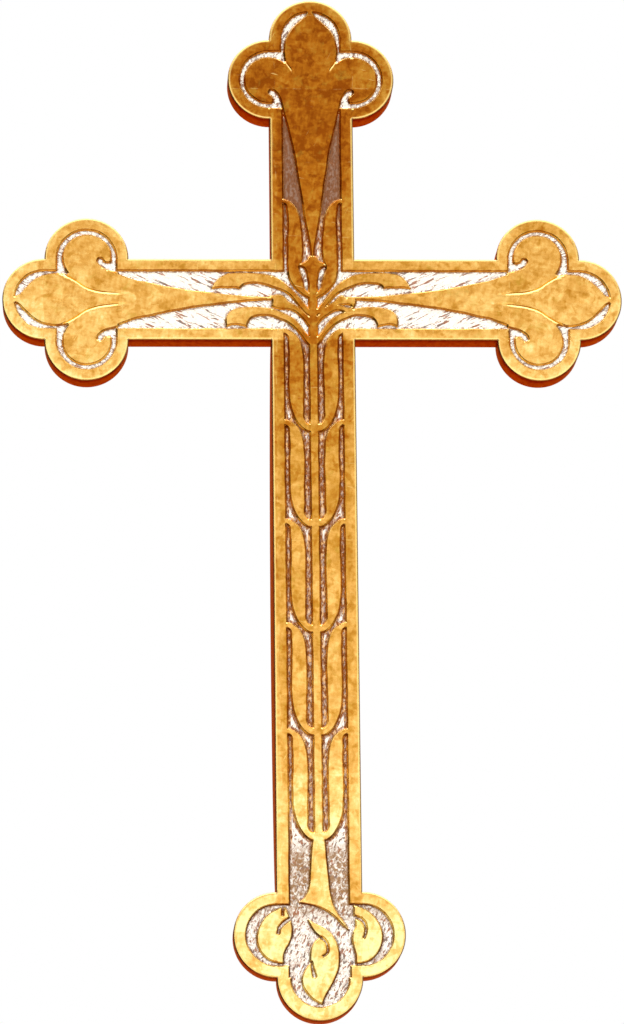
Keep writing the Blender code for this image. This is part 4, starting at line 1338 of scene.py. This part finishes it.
def tooled_silver(shader, strokes, x, z, ground):
    """The colour of silver leaf over tool marks: bright, with dark breaks, and with painted shade near the
    foot of the walls and in the narrow slots.
    """
    low = shader.span(z, FOOT_SILVER)
    cracks = shader.ramp(shader.math("ADD", strokes, shader.product(low, 0.025)), 0.56, 0.60)
    warm = shader.patches(0.42, 0.58, 5, 2, seed=32)
    speckle = shader.patches(0.60, 0.68, 1.3, 3, seed=33)
    stain = shader.patches(0.50, 0.62, 4.5, 4, 0.8, seed=34)
    stained = shader.product(stain, shader.blend(low, 0.06, 0.5))
    silver = shader.mix(stained, SILVER, SILVER_STAIN)
    silver = shader.mix(shader.product(cracks, 0.92), silver, shader.mix(warm, STROKE_DIRT, STROKE_BOLE))
    broken = shader.patches(0.44, 0.56, 2.6, 3, 0.6, seed=38)
    high = shader.span(z, HEAD_CHANNELS)
    # Painted shade: the silver is darkened, in broken patches, near the foot of the carved walls, a little
    # more in the head's channels
    shaded_near_walls = shader.product(shader.ramp(ground, 3.6, 1.6), broken, shader.blend(high, 0.75, 0.85))
    silver = shader.mix(shaded_near_walls, silver, WALL_FOOT_SHADE)
    silver = shader.mix(shader.product(speckle, shader.blend(low, 0.25, 0.6)), silver, SPECKLE)
    panel = shader.product(shader.span(z, FOOT_PANEL), low)
    panel_dirt = shader.patches(0.36, 0.60, 3.6, 4, 0.6, seed=35)
    silver = shader.mix(shader.product(panel, panel_dirt, 0.95), silver, PANEL_DIRT)

    upright = shader.span(shader.math("ABSOLUTE", x), PANEL_SIDES)
    below = shader.product(shader.span(z, SLOT_END), shader.span(z, UNDER_ARMS))
    above = shader.product(shader.span(z, WEDGE_TOP), shader.span(z, OVER_ARMS))
    narrow = shader.ramp(ground, 4.0, 3.1)
    slot_place = shader.vector("MULTIPLY", shader.place, (1, 1, 0.5))
    # Painted shade in the upright's narrow slots, with painted glints in it; the same patches also vary
    # the wedge's brown
    blotches = shader.patches(0.40, 0.58, 2.6, 3, place=slot_place, seed=36)
    slot = shader.product(upright, narrow, shader.total(below, above), shader.blend(blotches, 0.65, 1.0))
    glint = shader.patches(0.50, 0.62, 2.8, 2, 0.6, place=slot_place, seed=37)
    silver = shader.mix(slot, silver, shader.mix(glint, SLOT_SHADE, SLOT_GLINT))
    wedge = shader.product(upright, above, shader.span(z, WEDGE_BOTTOM), shader.blend(blotches, 0.9, 1.0))
    return shader.mix(wedge, silver, WEDGE_DIRT)


def walls_in_light(shader):
    """(up, lit, tilted): facing up, facing up or to the left, and where an edge begins to turn up."""
    right, _, facing = shader.split(shader.node("NewGeometry", {}).outputs["Normal"])[:3]
    up = shader.ramp(facing, 0.02, 0.32)
    left = shader.product(shader.ramp(right, -0.1, -0.5), 0.75)
    return up, shader.math("ADD", up, left, clamp=True), shader.ramp(facing, 0.07, 0.3)


def worn_leaf(shader, arm_share, x, z, rim):
    """(colour, laps) of the gold leaf, paler along the borders as a painted highlight, most at the head,
    and paler along the outer edge, partly as worn leaf and partly as a painted highlight.
    """
    head, low = shader.span(z, HEAD_PALES), shader.span(z, FOOT_GOLD)
    # Painted highlight: the border band is paler near the outer edge, as if lit, most at the head
    uneven = shader.blend(shader.noise(10, 3, seed=13), 0.0, 0.3)
    painted_border_highlight = shader.product(shader.ramp(rim, 12, 2.5), uneven)
    painted_border_highlight = shader.product(painted_border_highlight, shader.blend(head, shader.blend(low, 0.45, 0.1), 1.0))
    from_right = shader.product(head, shader.span(x, HEADS_RIGHT), 0.10)
    color, laps = gold_leaf(shader, arm_share, shader.math("ADD", painted_border_highlight, from_right))
    # Partly worn leaf, partly painted highlight: the outer edge is made pale
    rubbed_and_highlit = shader.blend(shader.noise(5, 3, seed=12), 0.55, 1.1)
    edge = shader.math("MULTIPLY", shader.product(shader.ramp(rim, 3.1, 1.9), rubbed_and_highlit), 0.8, clamp=True)
    return shader.mix(edge, color, shader.mix(low, PALE_WORN_AND_HIGHLIT_GOLD, FOOT_EDGE)), laps


def leaf_relief(shader, silver_share, strokes, laps):
    """The planed wood under the gold, the tool strokes under the silver, and the leaf's laps."""
    waves = shader.product(shader.noise(12, 2, seed=44), 0.5)
    grain = shader.product(shader.noise(1.6, 3, seed=43), 0.035)
    brushing = shader.noise(1.3, 2, place=shader.turn(5, (1 / 12, 1, 1)), seed=45)
    brushing = shader.product(brushing, 0.025)
    tooling = shader.product(silver_share, strokes, 1.5)
    height = shader.total(waves, grain, brushing, tooling, shader.product(laps, 0.03))
    return shader.bump(height, 0.6, 0.8)


def gilding(name, is_arm):
    """Gold leaf on what is raised, and tooled silver leaf below it, with painted highlights where slopes
    face up and painted shade where walls face away from the light.
    """
    shader = Shader(name)
    x, y, z = shader.split(shader.place)[:3]
    ground, rim = shader.attribute("ground"), shader.attribute("rim")
    up, lit, tilted = walls_in_light(shader)
    outwards = shader.math("ABSOLUTE", x)
    if is_arm:
        arm_share = 1.0
        mirrored_place = shader.node("CombineXYZ", {0: outwards, 1: y, 2: z}).outputs[0]
        strokes_place = shader.turn(*ARM_STROKES, mirrored_place)
    else:
        beside = shader.span(outwards, SHAFT_TO_ARM)
        arm_share = shader.product(beside, shader.span(shader.math("ABSOLUTE", z), ARM_SIDES))
        strokes_place = shader.turn(*SHAFT_STROKES)
    color, laps = worn_leaf(shader, arm_share, x, z, rim)
    # Painted highlight: gold slopes that turn up, away from the outermost edge, are made pale
    rounded = shader.product(tilted, shader.ramp(rim, 1.0, 2.0), 0.9)
    color = shader.mix(rounded, color, PALE_WORN_AND_HIGHLIT_GOLD)
    outermost = shader.product(shader.ramp(rim, 1.1, 0.4), 0.8)
    color = shader.mix(outermost, color, OUTERMOST_GOLD)
    low = shader.span(z, FOOT_GOLD)
    # Painted shade: walls that face neither up nor to the left are darkened towards SHADED_GOLD, and
    # towards a dark bole colour at the foot and in the upright's slots, in patches of varying strength
    shade_strength = shader.blend(shader.patches(0.35, 0.65, 7, 3, seed=14), 0.15, 0.9)
    unlit = shader.product(shader.ramp(ground, -0.45, 0.1), shader.math("SUBTRACT", 1.0, lit))
    slots = shader.product(shader.span(outwards, PANEL_SIDES), shader.span(z, UNDER_ARMS), 0.7)
    shade = shader.mix(shader.math("MAXIMUM", low, slots), SHADED_GOLD, PAINTED_SHADE_BOLE)
    color = shader.mix(shader.product(unlit, shader.blend(low, shade_strength, 0.95)), color, shade)
    hairs = shader.math("ADD", scratches(shader, 21, 62), scratches(shader, 25, -15), clamp=True)
    color = shader.mix(shader.math("MULTIPLY", hairs, 0.8), color, PALE_WORN_AND_HIGHLIT_GOLD)

    ragged = shader.centred_noise(0.4, 2.2, 4, seed=11)
    # Painted highlight: silver leaf reaches further up the walls that face up, so that they read as bright
    # white bands
    silver_share = shader.ramp(shader.total(ground, ragged, shader.product(up, 0.5)), 0.95, 1.25)
    strokes = shader.noise(2.3, 3, 0.7, place=strokes_place, seed=31)
    color = shader.mix(silver_share, color, tooled_silver(shader, strokes, x, z, ground))

    polish = shader.noise(16, 4, 0.5, seed=41)
    gold_roughness = shader.blend(shader.ramp(polish, 0.3, 0.7), 0.2, 0.32)
    roughness = shader.node("Mix", {0: silver_share, 2: gold_roughness, 3: 0.33}).outputs[0]
    normal = leaf_relief(shader, silver_share, strokes, laps)
    return shader.set(base_color=color, metallic=1.0, roughness=roughness, normal=normal,
                      specular_tint=LEAF_EDGE_TINT)


def gilded_edge():
    """The sides: thin gold over red bole, worn through."""
    shader = Shader("gilded_edge")
    y = shader.split(shader.place)[1]
    color, _ = gold_leaf(shader, 0.6)
    depth = shader.math("ADD", y, shader.centred_noise(0.0005, 4, 3, seed=51))
    grain_place = shader.vector("MULTIPLY", shader.place, (1, 0.5, 1))
    worn = shader.patches(0.35, 0.7, 5, 5, 0.5, place=grain_place, seed=52)
    front_bole = shader.mix(worn, (0.38, 0.052, 0.005), (0.25, 0.026, 0.003))
    back_bole = shader.mix(worn, (0.54, 0.11, 0.015), (0.40, 0.062, 0.007))
    bole = shader.mix(shader.span(depth, SIDE_BOLE_PALES), front_bole, back_bole)
    leaf = shader.mix(0.7, color, PALE_WORN_AND_HIGHLIT_GOLD)
    color = shader.mix(shader.span(depth, SIDE_LEAF_END), leaf, bole)
    roughness = shader.blend(shader.span(depth, SIDE_SHEEN_END), 0.26, 0.42)
    normal = shader.bump(shader.noise(3, 4, seed=53), 0.4, 0.7)
    return shader.set(base_color=color, metallic=1.0, roughness=roughness, normal=normal,
                      specular_tint=BOLE_EDGE_TINT)


def bare_wood(name, along, light, dark, centre=CENTRE):
    """Planed wood. along is the axis of the grain, 0 for x or 2 for z."""
    shader = Shader(name, centre)
    squeeze = [1.0, 1.0, 1.0]
    squeeze[along] = 1 / 18
    drawn_out = shader.vector("MULTIPLY", shader.place, tuple(squeeze))
    rings = shader.noise(9, 3, 0.9, place=drawn_out, seed=61)
    bands = shader.math("FRACT", shader.math("MULTIPLY", rings, 7.0))
    fibres = shader.noise(0.7, 4, place=drawn_out, seed=62)
    color = shader.mix(shader.ramp(bands, 0.1, 0.9), light, dark)
    color = shader.mix(shader.math("MULTIPLY", fibres, 0.4), color, tuple(0.5 * c for c in dark))
    stain = shader.patches(0.45, 0.7, 60, 3, seed=63)
    color = shader.mix(shader.math("MULTIPLY", stain, 0.25), color, tuple(0.7 * c for c in dark))
    roughness = shader.blend(fibres, 0.5, 0.75)
    normal = shader.bump(fibres, 0.25, 0.6)
    return shader.set(base_color=color, metallic=0.0, roughness=roughness, normal=normal)


def zinc_plate(name, seed):
    """Bright zinc plating with fine wear and a few dull patches."""
    shader = Shader(name, Vector())
    cloudy = shader.noise(5, 4, 0.5, seed=seed)
    fine = shader.noise(0.6, 3, place=shader.turn(20, (1 / 6, 1, 1)), seed=seed + 1)
    color = shader.mix(shader.ramp(cloudy, 0.35, 0.7), (0.72, 0.72, 0.70), (0.52, 0.52, 0.50))
    color = shader.mix(shader.ramp(fine, 0.6, 0.72), color, (0.34, 0.32, 0.29))
    roughness = shader.blend(cloudy, 0.22, 0.48)
    normal = shader.bump(fine, 0.08, 0.5)
    return shader.set(base_color=color, metallic=1.0, roughness=roughness, normal=normal)


def black_rubber():
    shader = Shader("black_rubber", Vector())
    dust = shader.patches(0.5, 0.75, 2.5, 5, 0.3, seed=81)
    color = shader.mix(dust, (0.018, 0.018, 0.019), (0.06, 0.057, 0.052))
    roughness = shader.blend(dust, 0.62, 0.85)
    normal = shader.bump(shader.noise(0.35, 2, seed=82), 0.06, 0.6)
    return shader.set(base_color=color, roughness=roughness, normal=normal)


# ---------------------------------------------------------------- light, floor and camera

FLOOR_DROP = 0.9              # below the foot, in metres
CAMERA_FROM_CROSSING = (-0.2308, -4.8111, -1.3188)
CAMERA_YAW = 2.706            # degrees to the right
CAMERA_PITCH = 12.725         # degrees up
CAMERA_ROLL = 0.598
CAMERA_LENS = 165.3

# Light of the room by elevation in degrees, in front of the cross and behind it, up to FULL_LIGHT
FRONT_LIGHT = (
    (-90, (0.65, 0.36, 0.18)),
    (-60, (0.50, 0.27, 0.12)),
    (-42, (0.32, 0.17, 0.08)),
    (-28, (0.65, 0.46, 0.29)),
    (-14, (1.45, 1.33, 1.15)),
    (0, (1.60, 1.53, 1.42)),
    (10, (1.55, 1.46, 1.32)),
    (16, (1.20, 1.08, 0.92)),
    (21, (0.80, 0.67, 0.50)),
    (27, (0.80, 0.68, 0.52)),
    (35, (1.50, 1.40, 1.22)),
    (50, (2.6, 2.5, 2.3)),
    (90, (3.9, 3.85, 3.75)),
)
BACK_LIGHT = (
    (-90, (0.30, 0.26, 0.22)),
    (-40, (0.5, 0.43, 0.36)),
    (-20, (1.1, 0.97, 0.82)),
    (5, (1.1, 1.0, 0.88)),
    (22, (1.0, 0.93, 0.85)),
    (45, (2.4, 2.3, 2.2)),
    (90, (3.9, 3.85, 3.75)),
)
FULL_LIGHT = 4.0
DARK_SIDES = (0.38, 0.68)     # how far aside the room gets dark, as a share of a direction
DARK_BELOW = (0.6, 0.25)      # and up to which height
LEAST_LEFT = 0.07             # the share of the light that is left there
LEAST_RIGHT = 0.3


def light_room():
    """The room's light, by elevation and by side. The camera sees plain white instead."""
    world = bpy.data.worlds.new("room")
    bpy.context.scene.world = world
    world.use_nodes = True
    world.node_tree.nodes.clear()

    def add(kind, inputs, **settings):
        return add_node(world.node_tree, kind, inputs, **settings)

    def between(value, low, high, **settings):
        return add("MapRange", {"Value": value, "From Min": low, "From Max": high}, **settings).outputs[0]

    way = add("TexCoord", {}).outputs["Generated"]
    sideways, backwards, upwards = add("SeparateXYZ", {0: way}).outputs[:3]
    share = between(upwards, -1.0, 1.0)
    colors = []
    for lights in (FRONT_LIGHT, BACK_LIGHT):
        ramp = add("ValToRGB", {0: share})
        set_stops(ramp, [
            ((math.sin(math.radians(elevation)) + 1) / 2, [c / FULL_LIGHT for c in color])
            for elevation, color in lights
        ])
        colors.append(ramp.outputs[0])
    behind = between(backwards, -0.1, 0.35)
    both = add("MixRGB", {0: behind, 1: colors[0], 2: colors[1]}).outputs[0]
    aside = add("Math", {0: sideways}, operation="ABSOLUTE").outputs[0]
    side = between(aside, *DARK_SIDES, interpolation_type="SMOOTHSTEP")
    low = between(upwards, *DARK_BELOW, interpolation_type="SMOOTHSTEP")
    dark = add("Math", {0: side, 1: low}, operation="MULTIPLY").outputs[0]
    least = add("MapRange", {"Value": sideways, "From Min": -0.1, "From Max": 0.1,
                             "To Min": LEAST_LEFT * FULL_LIGHT, "To Max": LEAST_RIGHT * FULL_LIGHT})
    strength = add("MapRange", {"Value": dark, "To Min": FULL_LIGHT, "To Max": least.outputs[0]})
    room = add("Background", {"Color": both, "Strength": strength.outputs[0]})
    seen = add("Background", {"Color": (1, 1, 1)})
    kind = add("LightPath", {}).outputs["Is Camera Ray"]
    choice = add("MixShader", {0: kind, 1: room.outputs[0], 2: seen.outputs[0]})
    add("OutputWorld", {"Surface": choice.outputs[0]})


def add_floor():
    mesh = bpy.data.meshes.new("floor")
    bm = bmesh.new()
    bmesh.ops.create_circle(bm, cap_ends=True, radius=6, segments=96)
    bm.to_mesh(mesh)
    bm.free()
    shader = Shader("floor")
    color = shader.mix(shader.noise(300, 3, seed=71), (0.72, 0.71, 0.69), (0.78, 0.77, 0.75))
    mesh.materials.append(shader.set(base_color=color, roughness=0.8))
    floor = link_object("floor", mesh)
    floor.location = (0, 0, upright_low.z - FLOOR_DROP)
    floor.visible_glossy = False


def add_camera():
    data = bpy.data.cameras.new("camera")
    data.lens = CAMERA_LENS
    data.clip_end = 50
    camera = link_object("camera", data)
    aim = (
        Matrix.Rotation(math.radians(-CAMERA_YAW), 4, "Z")
        @ Matrix.Rotation(math.radians(90 + CAMERA_PITCH), 4, "X")
        @ Matrix.Rotation(math.radians(-CAMERA_ROLL), 4, "Z")
    )
    camera.matrix_world = Matrix.Translation(CENTRE + Vector(CAMERA_FROM_CROSSING)) @ aim
    bpy.context.scene.camera = camera


def add_carved_pieces():
    edge = gilded_edge()
    pine = ((0.5, 0.32, 0.17), (0.36, 0.2, 0.09))
    kinds = {
        True: [gilding("gilding_arms", True), edge, bare_wood("wood_across", 0, *pine)],
        False: [gilding("gilding_upright", False), edge, bare_wood("wood_upright", 2, *pine)],
    }
    outlines = {"upright_board": upright_outline(), "crossbar_board": crossbar_outline()}
    outlines.update(lobe_outlines())
    face = CarvedFace(list(outlines.values()))
    fill = face.points()
    half, far = THICKNESS / 2, R + PAST_THE_SIDES
    laps = {
        "upright_board": ((-far, half, -R), (far, THICKNESS + PAST_THE_WOOD, R)),
        "crossbar_board": ((-R, -PAST_THE_WOOD, -far), (R, half, far)),
    }
    owners = {"upright_board": ("head", "foot"), "crossbar_board": ("left_arm", "right_arm")}
    for node, points in outlines.items():
        materials = kinds["arm" in node or "crossbar" in node]
        piece = carved_solid("carved_" + node, points, face, fill, materials)
        holes = [name for name in NODES if "dowel" in name and name.startswith(owners.get(node, node))]
        if node in laps:
            subtract(piece, lambda bm: box_between(bm, *laps[node]), materials)

        def build_holes(bm):
            cut_dowel_holes(bm, holes)
            if "board" in node:
                cut_screw_holes(bm)

        subtract(piece, build_holes, materials)
        note_distances(piece, face)
        finish_piece(piece, node)


def main():
    light_room()
    add_floor()
    add_camera()
    bpy.context.scene.view_settings.view_transform = "Standard"
    add_carved_pieces()
    steel = zinc_plate("zinc_plating", 91)
    add_dowels(bare_wood("beech_grain", 2, (0.62, 0.43, 0.27), (0.5, 0.32, 0.19), Vector()))
    add_screws(steel)
    add_pads(black_rubber())
    pivot = ring_pivot()
    add_hanger_plate(pivot, steel)
    add_hanger_ring(pivot, zinc_plate("zinc_wire", 95))


main()
